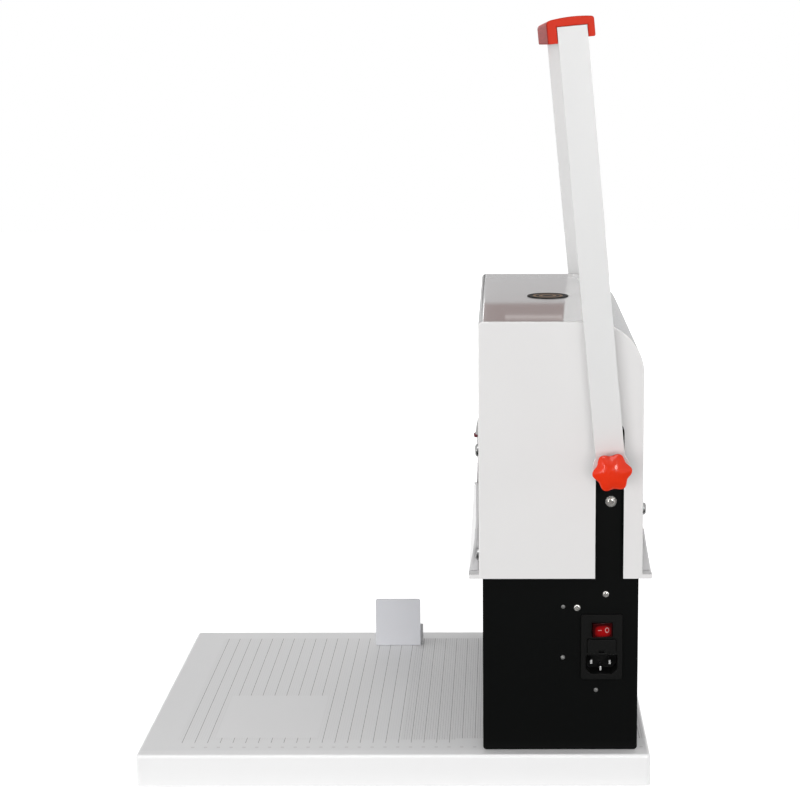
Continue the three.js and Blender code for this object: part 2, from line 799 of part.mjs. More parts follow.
function fuseDrawer() {
  const { width, height, depth, lip, pullNotch } = FUSE;
  const body = block(
    [inletFace - depth, inletFace + lip],
    [inletY - width / 2, inletY + width / 2],
    [fuseZ - height / 2, fuseZ + height / 2],
  );
  const notch = block(
    [inletFace - lip, inletFace + lip + OVERRUN],
    [inletY - pullNotch, inletY + pullNotch],
    [fuseZ - height / 2 - OVERRUN, fuseZ - height / 2 + pullNotch],
  );
  return cut(body, notch);
}

// The rocker's cap is a shallow V, and it rests with its rear end pressed in.
function powerRocker() {
  const { width, height, depth, proud, tiltDegrees } = ROCKER;
  const half = width / 2;
  const back = -depth;
  const dip = Math.tan(THREE.MathUtils.degToRad(tiltDegrees)) * half;
  const cap = outline([
    [-half, back / 2],
    [0, back],
    [half, back / 2],
    [half, proud],
    [0, proud - dip],
    [-half, proud],
  ]);
  const geometry = extruded(cap, -height / 2, height / 2);
  const turn = new THREE.Matrix4().makeBasis(Y_AXIS, X_AXIS, Z_AXIS.clone().negate());
  geometry.applyMatrix4(turn);
  geometry.rotateZ(THREE.MathUtils.degToRad(tiltDegrees));
  geometry.translate(inletFace, rockerY, rockerZ);
  return solid(geometry);
}

// Toothed parts: involute gears, the lift sectors and their racks
function gearShape(module, teeth, phase, [centreU, centreV], flankSteps) {
  const pitchRadius = (module * teeth) / 2;
  const baseRadius = pitchRadius * Math.cos(PRESSURE_ANGLE);
  const tipRadius = pitchRadius + module;
  const rootRadius = pitchRadius - DEDENDUM_SHARE * module;
  const involute = (angle) => Math.tan(angle) - angle;
  const halfTooth = Math.PI / (2 * teeth) - (BACKLASH_SHARE * module) / pitchRadius;
  const startRadius = Math.max(baseRadius, rootRadius);
  const flank = [];
  for (let i = 0; i <= flankSteps; i += 1) {
    const radius = startRadius + ((tipRadius - startRadius) * i) / flankSteps;
    const turn = involute(PRESSURE_ANGLE) - involute(Math.acos(baseRadius / radius));
    flank.push({ radius, half: halfTooth + turn });
  }
  flank.unshift({ radius: rootRadius, half: flank[0].half });
  const points = [];
  for (let tooth = 0; tooth < teeth; tooth += 1) {
    const middle = phase + (2 * Math.PI * tooth) / teeth;
    const place = ({ radius, half }, side) => {
      const angle = middle + side * half;
      points.push([centreU + radius * Math.cos(angle), centreV + radius * Math.sin(angle)]);
    };
    flank.forEach((point) => place(point, -1));
    [...flank].reverse().forEach((point) => place(point, 1));
  }
  return outline(points);
}

// The sector keeps the ten teeth that the lever's swing brings past the rack.
function sectorGear(side) {
  const { module, width, hubRadius, hubWidth } = LIFT;
  const pitch = (2 * Math.PI) / LIFT_TEETH;
  const from = side * liftX - width / 2;
  const toothed = gearShape(module, LIFT_TEETH, Math.PI, [pivotY, pivotZ], FINE_FLANK_STEPS);
  const wheel = alongX(toothed, from, from + width);
  const swing = THREE.MathUtils.degToRad(LEVER.swingDegrees);
  const toothCount = Math.ceil(swing / pitch) + 1;
  const start = Math.PI + pitch / 2;
  const wedgePoints = [[pivotY, pivotZ]];
  for (let step = 0; step <= toothCount; step += 1) {
    const angle = start - step * pitch;
    const reach = 2 * liftRadius;
    wedgePoints.push([pivotY + reach * Math.cos(angle), pivotZ + reach * Math.sin(angle)]);
  }
  const wedge = alongX(outline(wedgePoints.reverse()), from - OVERRUN, from + width + OVERRUN);
  const middle = side * liftX;
  const hub = rodX(pivotY, pivotZ, hubRadius, middle - hubWidth / 2, middle + hubWidth / 2);
  const bore = rodX(pivotY, pivotZ, LEVER.shaftRadius + GAP, from - hubWidth, from + width + hubWidth);
  return cut(join(wheel.intersect(wedge), hub), bore);
}

function liftRack(side) {
  const { module, width, backBar, footLength } = LIFT;
  const pitchY = pivotY - liftRadius;
  const tip = pitchY + module;
  const root = pitchY - DEDENDUM_SHARE * module;
  const back = root - backBar;
  const bottom = lidTop + GAP;
  const slope = Math.tan(PRESSURE_ANGLE);
  const halfAtPitch = rackPitch / 4 - BACKLASH_SHARE * module;
  const halfAtRoot = halfAtPitch + DEDENDUM_SHARE * module * slope;
  const halfAtTip = halfAtPitch - module * slope;
  const points = [
    [back, bottom],
    [root, bottom],
  ];
  for (let tooth = 0; tooth < rackTeeth; tooth += 1) {
    const z = pivotZ + (tooth - 1 / 2) * rackPitch;
    points.push([root, z - halfAtRoot], [tip, z - halfAtTip]);
    points.push([tip, z + halfAtTip], [root, z + halfAtRoot]);
  }
  points.push([root, rackTop], [back, rackTop]);
  const from = side * liftX - width / 2;
  const bar = alongX(outline(points), from, from + width);
  const base = block([from, from + width], [root - footLength, root], [bottom, bottom + CARRIAGE.floor]);
  return join(bar, base);
}

// Lever: shaft, two flat arms, a cross bar between their tops and the moulded grip over it
const lever = new THREE.Group();
lever.position.set(0, pivotY, pivotZ);
lever.rotation.x = THREE.MathUtils.degToRad(LEVER.leanDegrees);
machine.add(lever);

function leverShaft() {
  const { shaftRadius, collarRadius, squareWidth } = LEVER;
  const collarFrom = outerX + GAP + BUSH.flange;
  const collarTo = armInnerX - GAP;
  const squareEnd = armOuterX - GAP;
  const profile = [
    [0, -collarTo],
    [collarRadius, -collarTo],
    [collarRadius, -collarFrom],
    [shaftRadius, -collarFrom],
    [shaftRadius, collarFrom],
    [collarRadius, collarFrom],
    [collarRadius, collarTo],
    [0, collarTo],
  ];
  const half = squareWidth / 2;
  const studBore = KNOB.studRadius + GAP;
  const drillDepth = KNOB.studDepth + 2 * GAP;
  const square = (from, to) => block([from, to], [-half, half], [-half, half]);
  return cut(
    join(turnedX(profile, 0, 0), square(collarFrom, squareEnd), square(-squareEnd, -collarFrom)),
    rodX(0, 0, studBore, armOuterX - drillDepth, armOuterX + OVERRUN, SMALL_SIDES),
    rodX(0, 0, studBore, -armOuterX - OVERRUN, -armOuterX + drillDepth, SMALL_SIDES),
  );
}

function leverArm(side) {
  const { length, armWidth, eyeRadius, squareWidth } = LEVER;
  const half = armWidth / 2;
  const shape = new THREE.Shape();
  const shoulder = Math.asin(half / eyeRadius);
  shape.moveTo(-half, length);
  shape.absarc(0, 0, eyeRadius, Math.PI / 2 + shoulder, 2 * Math.PI + Math.PI / 2 - shoulder);
  shape.lineTo(half, length);
  const from = side > 0 ? armInnerX : -armOuterX;
  const to = from + LEVER.armThickness;
  const hole = squareWidth / 2 + GAP;
  const opening = block([from - OVERRUN, to + OVERRUN], [-hole, hole], [-hole, hole]);
  return cut(alongX(shape, from, to, GAP, FINE_ARC_STEPS), opening);
}

function leverCrossbar() {
  const { length, armWidth, barHeight, barWall } = LEVER;
  const end = armInnerX - GAP;
  const middle = length - barHeight / 2;
  const outside = roundedRectangle(armWidth, barHeight, barWall, 0, middle);
  const innerWidth = armWidth - 2 * barWall;
  const inside = roundedRectangle(innerWidth, barHeight - 2 * barWall, barWall / 2, 0, middle);
  return cut(alongX(outside, -end, end), alongX(inside, -end - OVERRUN, end + OVERRUN));
}

// The grip's section is a crowned channel whose front lip hangs lower than its rear lip.
function leverGrip() {
  const { frontLeg, rearLeg, frontDrop, rearDrop, thickness } = GRIP;
  const { crown, cornerRadius, endRadius, overhang } = GRIP;
  const half = LEVER.armWidth / 2 + GAP;
  const seat = LEVER.length + GAP;
  const front = -half - frontLeg;
  const rear = half + rearLeg;
  const shoulder = seat + thickness - crown;
  const end = armOuterX + overhang;
  const shape = new THREE.Shape();
  shape.moveTo(front + cornerRadius, seat - frontDrop);
  shape.lineTo(-half, seat - frontDrop);
  shape.lineTo(-half, seat);
  shape.lineTo(half, seat);
  shape.lineTo(half, seat - rearDrop);
  shape.lineTo(rear - cornerRadius / 2, seat - rearDrop);
  shape.quadraticCurveTo(rear, seat - rearDrop, rear, seat - rearDrop + cornerRadius / 2);
  shape.lineTo(rear, shoulder);
  shape.quadraticCurveTo(rear, shoulder + cornerRadius, rear - cornerRadius, shoulder + cornerRadius);
  shape.quadraticCurveTo(0, seat + thickness + crown, front + cornerRadius, shoulder);
  shape.quadraticCurveTo(front, shoulder - cornerRadius / 2, front, shoulder - cornerRadius);
  shape.lineTo(front, seat - frontDrop + cornerRadius);
  shape.quadraticCurveTo(front, seat - frontDrop, front + cornerRadius, seat - frontDrop);
  return alongX(shape, -end, end, endRadius, FINE_ARC_STEPS);
}

function starKnob(side) {
  const { lobeRadius, waistRadius, thickness, edgeRadius, hubRadius, hubLength } = KNOB;
  const { studRadius, studDepth, capRadius, capHeight } = KNOB;
  const middle = (lobeRadius + waistRadius) / 2;
  const swell = (lobeRadius - waistRadius) / 2;
  const points = [];
  for (let i = 0; i < KNOB_POINTS; i += 1) {
    const angle = (2 * Math.PI * i) / KNOB_POINTS;
    const radius = middle + swell * Math.cos(KNOB_LOBES * (angle - KNOB_PHASE));
    points.push([pivotY + radius * Math.cos(angle), pivotZ + radius * Math.sin(angle)]);
  }
  const near = armOuterX + GAP;
  const bodyFrom = near + hubLength;
  const bodyTo = bodyFrom + thickness;
  const span = (from, to) => (side > 0 ? [from, to] : [-to, -from]);
  return join(
    alongX(outline(points), ...span(bodyFrom, bodyTo), edgeRadius),
    rodX(pivotY, pivotZ, hubRadius, ...span(near, bodyFrom + edgeRadius), SMALL_SIDES),
    rodX(pivotY, pivotZ, studRadius, ...span(armOuterX - studDepth, near + hubLength / 2), SMALL_SIDES),
    rodX(pivotY, pivotZ, capRadius, ...span(bodyTo - edgeRadius, bodyTo + capHeight), SMALL_SIDES),
  );
}

function shaftBush(side) {
  const inner = LEVER.shaftRadius + GAP;
  const outer = LEVER.shaftRadius + BUSH.wall + GAP;
  const flangeTo = innerX - GAP;
  const flangeFrom = flangeTo - BUSH.flangeSheet;
  const end = outerX + BUSH.flange - GAP;
  const profile = [
    [inner, flangeFrom],
    [outer + BUSH.flange, flangeFrom],
    [outer + BUSH.flange, flangeTo],
    [outer, flangeTo],
    [outer, end],
    [inner, end],
    [inner, flangeFrom],
  ];
  const mirrored = profile.map(([radius, place]) => [radius, -place]).reverse();
  return turnedX(side > 0 ? profile : mirrored, pivotY, pivotZ);
}

// Drill carriage: a cast tray that slides on the columns, its lid, the motor and the gear train
function drillCarriage() {
  const { floor, wall, frontWall, sleeveRadius } = CARRIAGE;
  const span = [-carriageHalfX, carriageHalfX];
  const depth = [carriageFront, carriageRear];
  const inner = [-carriageHalfX + wall, carriageHalfX - wall];
  const innerDepth = [carriageFront + frontWall, carriageRear - wall];
  let made = cut(
    block(span, depth, [carriageBottom, carriageTop]),
    block(inner, innerDepth, [carriageBottom + floor, carriageTop + OVERRUN]),
  );
  for (const side of Object.values(SIDES)) {
    const x = side * columnX;
    const pinBore = DRILLS.idlerPinRadius + GAP;
    made = cut(
      join(made, rodZ(x, columnY, sleeveRadius, sleeveBottom, carriageTop)),
      rodZ(x, columnY, COLUMN.radius + GAP, sleeveBottom - OVERRUN, carriageTop + OVERRUN),
      rodZ(side * idlerX, drillY, pinBore, ...throughFloor(), SMALL_SIDES),
    );
  }
  for (const x of drillPlaces()) {
    made = cut(made, rodZ(x, drillY, DRILLS.shaftRadius + GAP, ...throughFloor()));
  }
  return made;
}

const throughFloor = () => [carriageBottom - OVERRUN, carriageBottom + CARRIAGE.floor + OVERRUN];

function carriageLid() {
  const bottom = carriageTop + GAP;
  const top = lidTop;
  const through = [bottom - OVERRUN, top + OVERRUN];
  let made = block([-carriageHalfX, carriageHalfX], [carriageFront, carriageRear], [bottom, top]);
  for (const side of Object.values(SIDES)) {
    made = cut(made, rodZ(side * columnX, columnY, COLUMN.radius + GAP, ...through));
  }
  for (const x of drillPlaces()) {
    made = cut(made, rodZ(x, drillY, DRILLS.shaftRadius + GAP, ...through));
  }
  return made;
}

function drillMotor() {
  const { radius, flangeRadius, flangeHeight, capRadius, capHeight, stub } = MOTOR;
  const bottom = lidTop + GAP;
  const bore = DRILLS.shaftRadius + GAP;
  const profile = [
    [0, bottom + stub + GAP],
    [bore, bottom + stub + GAP],
    [bore, bottom],
    [flangeRadius, bottom],
    [flangeRadius, bottom + flangeHeight],
    [radius, bottom + flangeHeight],
    [radius, motorTop - capHeight],
    [capRadius, motorTop],
    [0, motorTop],
  ];
  return turnedZ(profile, 0, drillY);
}

function spindle(x) {
  const { noseRadius, noseLength, neckRadius } = CHUCK;
  const { shaftRadius, gearWidth } = DRILLS;
  const top = x === 0 ? lidTop + GAP + MOTOR.stub : lidTop - GAP;
  const socket = BIT.shankRadius + GAP;
  const socketTop = nutBottom + GAP + BIT.shankLength + GAP;
  const neckTop = carriageBottom - GAP;
  const noseTop = noseBottom + noseLength;
  const profile = [
    [0, socketTop],
    [socket, socketTop],
    [socket, noseBottom],
    [noseRadius, noseBottom],
    [noseRadius, noseTop],
    [neckRadius, noseTop + noseRadius - neckRadius],
    [neckRadius, neckTop],
    [shaftRadius, neckTop],
    [shaftRadius, top],
    [0, top],
  ];
  const wheel = gearShape(gearModule, SPINDLE_TEETH, 0, [x, drillY], PLAIN_FLANK_STEPS);
  return join(turnedZ(profile, x, drillY), alongZ(wheel, gearBottom, gearBottom + gearWidth));
}

function idlerGear(side) {
  const x = side * idlerX;
  const halfPitch = Math.PI / IDLER_TEETH;
  const wheel = gearShape(gearModule, IDLER_TEETH, halfPitch, [x, drillY], PLAIN_FLANK_STEPS);
  const top = gearBottom + DRILLS.gearWidth;
  const bore = DRILLS.idlerPinRadius + GAP;
  const hole = rodZ(x, drillY, bore, gearBottom - OVERRUN, top + OVERRUN, SMALL_SIDES);
  return cut(alongZ(wheel, gearBottom, top), hole);
}

// The pin stands in the carriage's floor, with a shoulder under its gear and a head over it.
function idlerAxle(side) {
  const { idlerPinRadius, gearWidth, pinHead } = DRILLS;
  const floorTop = carriageBottom + CARRIAGE.floor;
  const collar = idlerPinRadius + pinHead;
  const gearTop = gearBottom + gearWidth;
  const profile = [
    [0, carriageBottom + GAP],
    [idlerPinRadius, carriageBottom + GAP],
    [idlerPinRadius, floorTop + GAP],
    [collar, floorTop + GAP],
    [collar, gearBottom - GAP],
    [idlerPinRadius, gearBottom - GAP],
    [idlerPinRadius, gearTop + GAP],
    [collar, gearTop + GAP],
    [collar, gearTop + GAP + pinHead],
    [0, gearTop + GAP + pinHead],
  ];
  return turnedZ(profile, side * idlerX, drillY, SMALL_SIDES);
}

function chuckNut(x) {
  const { nutRadius, nutTip, nutLength } = CHUCK;
  const inner = BIT.shankRadius + GAP;
  const profile = [
    [inner, nutBottom],
    [nutTip, nutBottom],
    [nutRadius, nutBottom + nutLength / 3],
    [nutRadius, nutBottom + nutLength],
    [inner, nutBottom + nutLength],
    [inner, nutBottom],
  ];
  return turnedZ(profile, x, drillY, SMALL_SIDES);
}

// A hollow paper drill: a sharpened tube with a thicker shank, open from tip to top.
function drillBit(x) {
  const { shankRadius, shankLength, radius, bore, bevel, edge } = BIT;
  const shankBottom = nutBottom + GAP;
  const profile = [
    [bore, bitTip],
    [bore + edge, bitTip],
    [radius, bitTip + bevel],
    [radius, shankBottom - radius],
    [shankRadius, shankBottom],
    [shankRadius, shankBottom + shankLength],
    [bore, shankBottom + shankLength],
    [bore, bitTip],
  ];
  return turnedZ(profile, x, drillY, SMALL_SIDES);
}

// Side stop: a painted angle plate on a magnet block that slides on the platform
function sideStopPlate() {
  const { plateX, width, height, sheet, foot: footWidth, cornerRadius, rearY } = STOP;
  const bottom = deckTop + GAP;
  const span = [rearY - width, rearY];
  const upright = roundedRectangle(width, height, cornerRadius, rearY - width / 2, bottom + height / 2);
  return join(
    alongX(upright, plateX - sheet, plateX),
    block([plateX - sheet, plateX], span, [bottom, bottom + sheet]),
    block([plateX - footWidth, plateX - sheet / 2], span, [bottom, bottom + sheet]),
  );
}

function sideStopMagnet() {
  const { plateX, width, sheet, rearY, magnetHeight, magnetDepth, magnetProud } = STOP;
  const rear = rearY + magnetProud;
  const bottom = deckTop + GAP + sheet + GAP;
  const face = plateX - sheet - GAP;
  return block([face - magnetDepth, face], [rear - width, rear], [bottom, bottom + magnetHeight]);
}

// Control board on standoffs behind the throat panel
function controlBoard() {
  const { width, height, sheet, standoff, aboveDeck, offset, blockSize, blockHeight } = BOARD;
  const rear = backPlateFront - GAP;
  const boardRear = rear - standoff;
  const boardFront = boardRear - sheet;
  const bottom = deckTop + aboveDeck;
  const spanX = [offset - width / 2, offset + width / 2];
  let made = join(
    block(spanX, [boardFront, boardRear], [bottom, bottom + height]),
    block(
      [offset - blockSize / 2, offset + blockSize / 2],
      [boardFront - blockHeight, boardFront + sheet / 2],
      [bottom + blockSize / 2, bottom + blockSize * 2],
    ),
  );
  for (const x of [spanX[0] + standoff, spanX[1] - standoff]) {
    for (const z of [bottom + standoff, bottom + height - standoff]) {
      const postX = [x - standoff / 2, x + standoff / 2];
      const postZ = [z - standoff / 2, z + standoff / 2];
      made = join(made, block(postX, [boardRear - sheet / 2, rear], postZ));
    }
  }
  return made;
}

// Assembly
add("platform_tray", platformTray(), FINISH.deckPaint);
add("throat_panel", throatPanel(), FINISH.blackPaint);
add("back_fence", backFence(), FINISH.aluminium);
add("back_plate", backPlate(), FINISH.blackPaint);
add("head_beam", headBeam(), FINISH.steel);
add("control_board", controlBoard(), FINISH.board);
add("cover_shell", coverShell(), FINISH.whitePaint);
add("front_guard", frontGuard(), FINISH.whitePaint);
add("rear_guard", rearGuard(), FINISH.whitePaint);
add("badge_disc", badgeDisc(), FINISH.badge);
add("button_block", buttonBlock(), FINISH.greyPlastic);
add("start_button", startButton(), FINISH.darkRed);
add("inlet_module", inletModule(), FINISH.blackPlastic);
add("fuse_drawer", fuseDrawer(), FINISH.blackPlastic);
add("power_rocker", powerRocker(), FINISH.redPlastic);
add("lever_shaft", leverShaft(), FINISH.steel, lever);
add("lever_crossbar", leverCrossbar(), FINISH.whitePaint, lever);
add("lever_grip", leverGrip(), FINISH.redPlastic, lever);
add("drill_carriage", drillCarriage(), FINISH.aluminium);
add("carriage_lid", carriageLid(), FINISH.aluminium);
add("drill_motor", drillMotor(), FINISH.steel);
add("side_stop_plate", sideStopPlate(), FINISH.greyPaint);
add("side_stop_magnet", sideStopMagnet(), FINISH.magnet);

for (const [name, side] of Object.entries(SIDES)) {
  add(`foot_front_${name}`, foot(side, -1), FINISH.rubber);
  add(`foot_rear_${name}`, foot(side, 1), FINISH.rubber);
  add(`side_plate_${name}`, sidePlate(side), FINISH.blackPaint);
  add(`guide_column_${name}`, guideColumn(side), FINISH.steel);
  add(`return_spring_${name}`, returnSpring(side), FINISH.springSteel);
  add(`shaft_bush_${name}`, shaftBush(side), FINISH.bronze);
  add(`lever_arm_${name}`, leverArm(side), FINISH.whitePaint, lever);
  add(`star_knob_${name}`, starKnob(side), FINISH.redPlastic);
  add(`sector_gear_${name}`, sectorGear(side), FINISH.steel);
  add(`lift_rack_${name}`, liftRack(side), FINISH.steel);
  add(`idler_gear_${name}`, idlerGear(side), FINISH.steel);
  add(`idler_axle_${name}`, idlerAxle(side), FINISH.steel);
}

const DRILL_NAMES = ["left", "middle", "right"];
drillPlaces().forEach((x, place) => {
  const name = DRILL_NAMES[place];
  add(`cutting_pad_${name}`, cuttingPad(x), FINISH.nylon);
  add(`spindle_${name}`, spindle(x), FINISH.steel);
  add(`chuck_nut_${name}`, chuckNut(x), FINISH.steel);
  add(`drill_bit_${name}`, drillBit(x), FINISH.steel);
});

export default machine;
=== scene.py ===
"""Dressed scene of the archive binding machine: a bench-top three-hole paper drill.

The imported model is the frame. Each sub-assembly below is a class that holds its sizes in
millimetres, models its visible pieces with Blender's own operators and gives them their finish.
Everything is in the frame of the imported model: +X is the operator's right hand, -Y is the
operator's side, +Z is up.
"""

from __future__ import annotations

import logging
import math
from collections.abc import Callable, Iterator, Sequence
from contextlib import contextmanager
from dataclasses import dataclass
from enum import Enum

import bmesh
import bpy
from mathutils import Matrix, Vector

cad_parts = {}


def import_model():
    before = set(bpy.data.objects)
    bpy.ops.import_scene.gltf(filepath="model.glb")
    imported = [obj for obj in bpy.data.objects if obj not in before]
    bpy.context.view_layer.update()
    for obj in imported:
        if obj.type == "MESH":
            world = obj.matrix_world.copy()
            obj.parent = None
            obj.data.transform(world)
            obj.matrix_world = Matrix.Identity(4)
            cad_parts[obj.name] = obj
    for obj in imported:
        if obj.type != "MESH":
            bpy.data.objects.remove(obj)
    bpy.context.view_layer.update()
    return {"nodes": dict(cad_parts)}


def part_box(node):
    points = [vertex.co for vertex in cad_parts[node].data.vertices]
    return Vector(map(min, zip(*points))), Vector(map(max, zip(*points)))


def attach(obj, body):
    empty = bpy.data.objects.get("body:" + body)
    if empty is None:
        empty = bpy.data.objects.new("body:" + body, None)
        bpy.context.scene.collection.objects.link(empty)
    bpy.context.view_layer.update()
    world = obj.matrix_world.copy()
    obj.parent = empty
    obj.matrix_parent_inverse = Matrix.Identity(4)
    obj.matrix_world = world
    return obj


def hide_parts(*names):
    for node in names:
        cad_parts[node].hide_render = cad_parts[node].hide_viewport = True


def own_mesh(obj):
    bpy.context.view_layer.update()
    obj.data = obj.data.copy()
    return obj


log = logging.getLogger("binding_machine")

MM = 0.001
FULL_TURN = 360.0
# Least share of a unit direction that counts as running along an axis.
STRAIGHT = 0.9
# How far a cutter reaches past what it cuts.
CLEAR = 5.0

Point = tuple[float, float, float]
Pair = tuple[float, float]
Colour = tuple[float, float, float]
PlaceTest = Callable[[Vector, Vector], bool]

# Places that several classes share, in millimetres: Y and Z of the lever's pivot and of the
# rocker, X and Y of the badge, and the cover's front and rear. LEAN is the lever's angle at rest.
PIVOT: Pair = (167.0, 255.0)
LEAN = 5.4
ROCKER: Pair = (162.1, 123.9)
BADGE: Pair = (4.7, 123.0)
COVER_Y: Pair = (67.1, 192.5)
PLATE_X = 153.0
DRILL_Y = 114.0
DRILL_PITCH = 80.0


class Part(Enum):
    """What an edit selects."""

    VERT = "verts"
    EDGE = "edges"
    FACE = "faces"


class Axis(Enum):
    """Direction that a turned or drawn piece runs along."""

    X = "x"
    Y = "y"
    Z = "z"

    @property
    def turn(self) -> Matrix:
        """Rotation that takes the Z axis to this axis."""
        turns = {
            Axis.X: Matrix.Rotation(math.radians(90), 4, "Y"),
            Axis.Y: Matrix.Rotation(math.radians(-90), 4, "X"),
            Axis.Z: Matrix.Identity(4),
        }
        return turns[self]


class Body(Enum):
    """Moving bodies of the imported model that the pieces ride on."""

    FRAME = "frame"
    LEVER = "lever"
    KNOB_LEFT = "knob_left"
    KNOB_RIGHT = "knob_right"
    CARRIAGE = "carriage"
    DRILL_LEFT = "drill_left"
    DRILL_MIDDLE = "drill_middle"
    DRILL_RIGHT = "drill_right"
    BUTTON = "button"
    ROCKER = "rocker"
    FUSE = "fuse"
    SIDE_STOP = "side_stop"


class Side(Enum):
    """Operator's left or right."""

    LEFT = -1
    RIGHT = 1

    @property
    def word(self) -> str:
        """The side's name as the model's nodes spell it."""
        return self.name.lower()

    def reach(self, near_x: float, far_x: float) -> Pair:
        """Lowest and highest X of what lies between two distances on this side."""
        low, high = sorted((self.value * near_x, self.value * far_x))
        return low, high


def deselect_everything() -> None:
    """Leaves edit mode if need be and clears the selection."""
    if bpy.context.object and bpy.context.object.mode != "OBJECT":
        bpy.ops.object.mode_set(mode="OBJECT")
    bpy.ops.object.select_all(action="DESELECT")


def choose(obj: bpy.types.Object) -> None:
    """Makes one object the only selected and the active one."""
    deselect_everything()
    obj.select_set(True)
    bpy.context.view_layer.objects.active = obj


def extrude(*step: float) -> None:
    """Extrudes what is selected in edit mode by a step in millimetres."""
    bpy.ops.mesh.extrude_region_move(TRANSFORM_OT_translate={"value": [s * MM for s in step]})


def near(a: float, b: float, reach: float = 0.05) -> bool:
    """Whether two lengths in millimetres are the same place."""
    return abs(a - b) < reach


def runs(axis: Axis) -> PlaceTest:
    """A test for edges along an axis, or for faces across it."""
    return lambda at, way: abs(getattr(way, axis.value)) > STRAIGHT


def faces_down(at: Vector, normal: Vector) -> bool:
    """Whether a face looks straight down."""
    return normal.z < -STRAIGHT


class Workpiece:
    """One mesh in the making. Its methods take millimetres and return the same piece."""

    def __init__(self, obj: bpy.types.Object) -> None:
        """Wraps a mesh object that has its place in its mesh."""
        self.obj = obj

    @classmethod
    def _settled(cls, name: str) -> Workpiece:
        """Names the object just added and moves its place into its mesh."""
        obj = bpy.context.object
        obj.name = name
        obj.data.name = name
        bpy.ops.object.transform_apply(location=True, rotation=True, scale=True)
        return cls(obj)

    @classmethod
    def block(cls, name: str, low: Point, high: Point) -> Workpiece:
        """A cube primitive stretched between two corners.

        Args:
            name: Piece name.
            low: Lowest corner.
            high: Highest corner.

        Returns:
            The new piece.
        """
        deselect_everything()
        centre = [(a + b) / 2 * MM for a, b in zip(low, high)]
        bpy.ops.mesh.primitive_cube_add(size=1, location=centre)
        bpy.context.object.scale = [(b - a) * MM for a, b in zip(low, high)]
        return cls._settled(name)

    @classmethod
    def bar(cls, name: str, low: float, high: float, middle: Pair, size: Pair) -> Workpiece:
        """A block from one X to another, with its section's middle and size in Y and Z."""
        (y, z), (half, rise) = middle, (size[0] / 2, size[1] / 2)
        return cls.block(name, (low, y - half, z - rise), (high, y + half, z + rise))

    @classmethod
    def turned(
        cls, name: str, profile: Sequence[Pair], centre: Point = (0, 0, 0), axis: Axis = Axis.Z,
        sides: int = 48,
    ) -> Workpiece:
        """A disc that is extruded and scaled from station to station, like a turned part.

        Args:
            name: Piece name.
            profile: Radius and height of each station, from the bottom face on.
            centre: Foot of the axis.
            axis: Direction of the axis.
            sides: Number of sides.

        Returns:
            The new piece.
        """
        deselect_everything()
        radius, height = profile[0]
        bpy.ops.mesh.primitive_circle_add(
            vertices=sides, radius=radius * MM, fill_type="NGON", location=(0, 0, height * MM)
        )
        piece = cls._settled(name)
        with piece.editing(Part.FACE):
            bpy.ops.mesh.select_all(action="SELECT")
            for (r0, z0), (r1, z1) in zip(profile, profile[1:]):
                extrude(0, 0, z1 - z0)
                share = r1 / r0
                bpy.ops.transform.resize(value=(share, share, 1), center_override=(0, 0, z1 * MM))
        return piece.close().transform(Matrix.Translation(Vector(centre) * MM) @ axis.turn)

    @classmethod
    def prism(
        cls, name: str, outline: Sequence[Pair], low: float, high: float, axis: Axis = Axis.X
    ) -> Workpiece:
        """A face with the given outline, extruded along an axis.

        Args:
            name: Piece name.
            outline: Corners of the section: (Y, Z) for X, (X, Z) for Y, (X, Y) for Z.
            low: Where it starts.
            high: Where it ends.
            axis: Direction of the extrusion.

        Returns:
            The new piece.
        """
        deselect_everything()
        bpy.ops.mesh.primitive_circle_add(
            vertices=len(outline), radius=MM, fill_type="NGON", location=(0, 0, 0)
        )
        piece = cls._settled(name)
        which = "xyz".index(axis.value)
        with piece.editing(Part.VERT):
            piece.put_corners([(*spot[:which], low, *spot[which:]) for spot in outline])
            bpy.ops.mesh.select_all(action="SELECT")
            extrude(*(high - low if k == which else 0 for k in range(3)))
        return piece.close()

    @classmethod
    def strip(
        cls, name: str, path: Sequence[Pair], low: float, high: float, thickness: float
    ) -> Workpiece:
        """Sheet metal bent along a path in the YZ plane.

        Args:
            name: Piece name.
            path: (Y, Z) points of the sheet's drawn face.
            low: Lowest X.
            high: Highest X.
            thickness: Sheet thickness, towards the back of that face.

        Returns:
            The new piece.
        """
        deselect_everything()
        bpy.ops.mesh.primitive_plane_add(size=2 * MM, location=(0, 0, 0))
        piece = cls._settled(name)
        last = path[1]
        with piece.editing(Part.EDGE):
            piece.put_corners([(x, *spot) for spot in path[:2] for x in (low, high)])
            piece.select(Part.EDGE, lambda at, along: near(at.y, last[0]) and near(at.z, last[1]))
            for (ya, za), (yb, zb) in zip(path[1:], path[2:]):
                extrude(0, yb - ya, zb - za)
        return piece.thicken(thickness).close()

    @classmethod
    def copy_of_node(cls, node: str, name: str) -> Workpiece:
        """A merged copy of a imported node's loose triangles, with flat areas made single faces.

        Args:
            node: Node to copy.
            name: Piece name.

        Returns:
            The new piece.
        """
        source = bpy.data.objects[node]
        obj = bpy.data.objects.new(name, source.data.copy())
        bpy.context.scene.collection.objects.link(obj)
        piece = cls(obj)
        with piece.editing(Part.VERT):
            bpy.ops.mesh.select_all(action="SELECT")
            bpy.ops.mesh.remove_doubles(threshold=0.002 * MM)
            bpy.ops.mesh.dissolve_limited(angle_limit=math.radians(0.6))
        return piece

    @contextmanager
    def editing(self, part: Part) -> Iterator[None]:
        """Opens edit mode with nothing selected, and closes it again.

        Args:
            part: What is selected in it.
        """
        choose(self.obj)
        bpy.ops.object.mode_set(mode="EDIT")
        bpy.ops.mesh.select_mode(type=part.name)
        bpy.ops.mesh.select_all(action="DESELECT")
        yield
        bpy.ops.object.mode_set(mode="OBJECT")

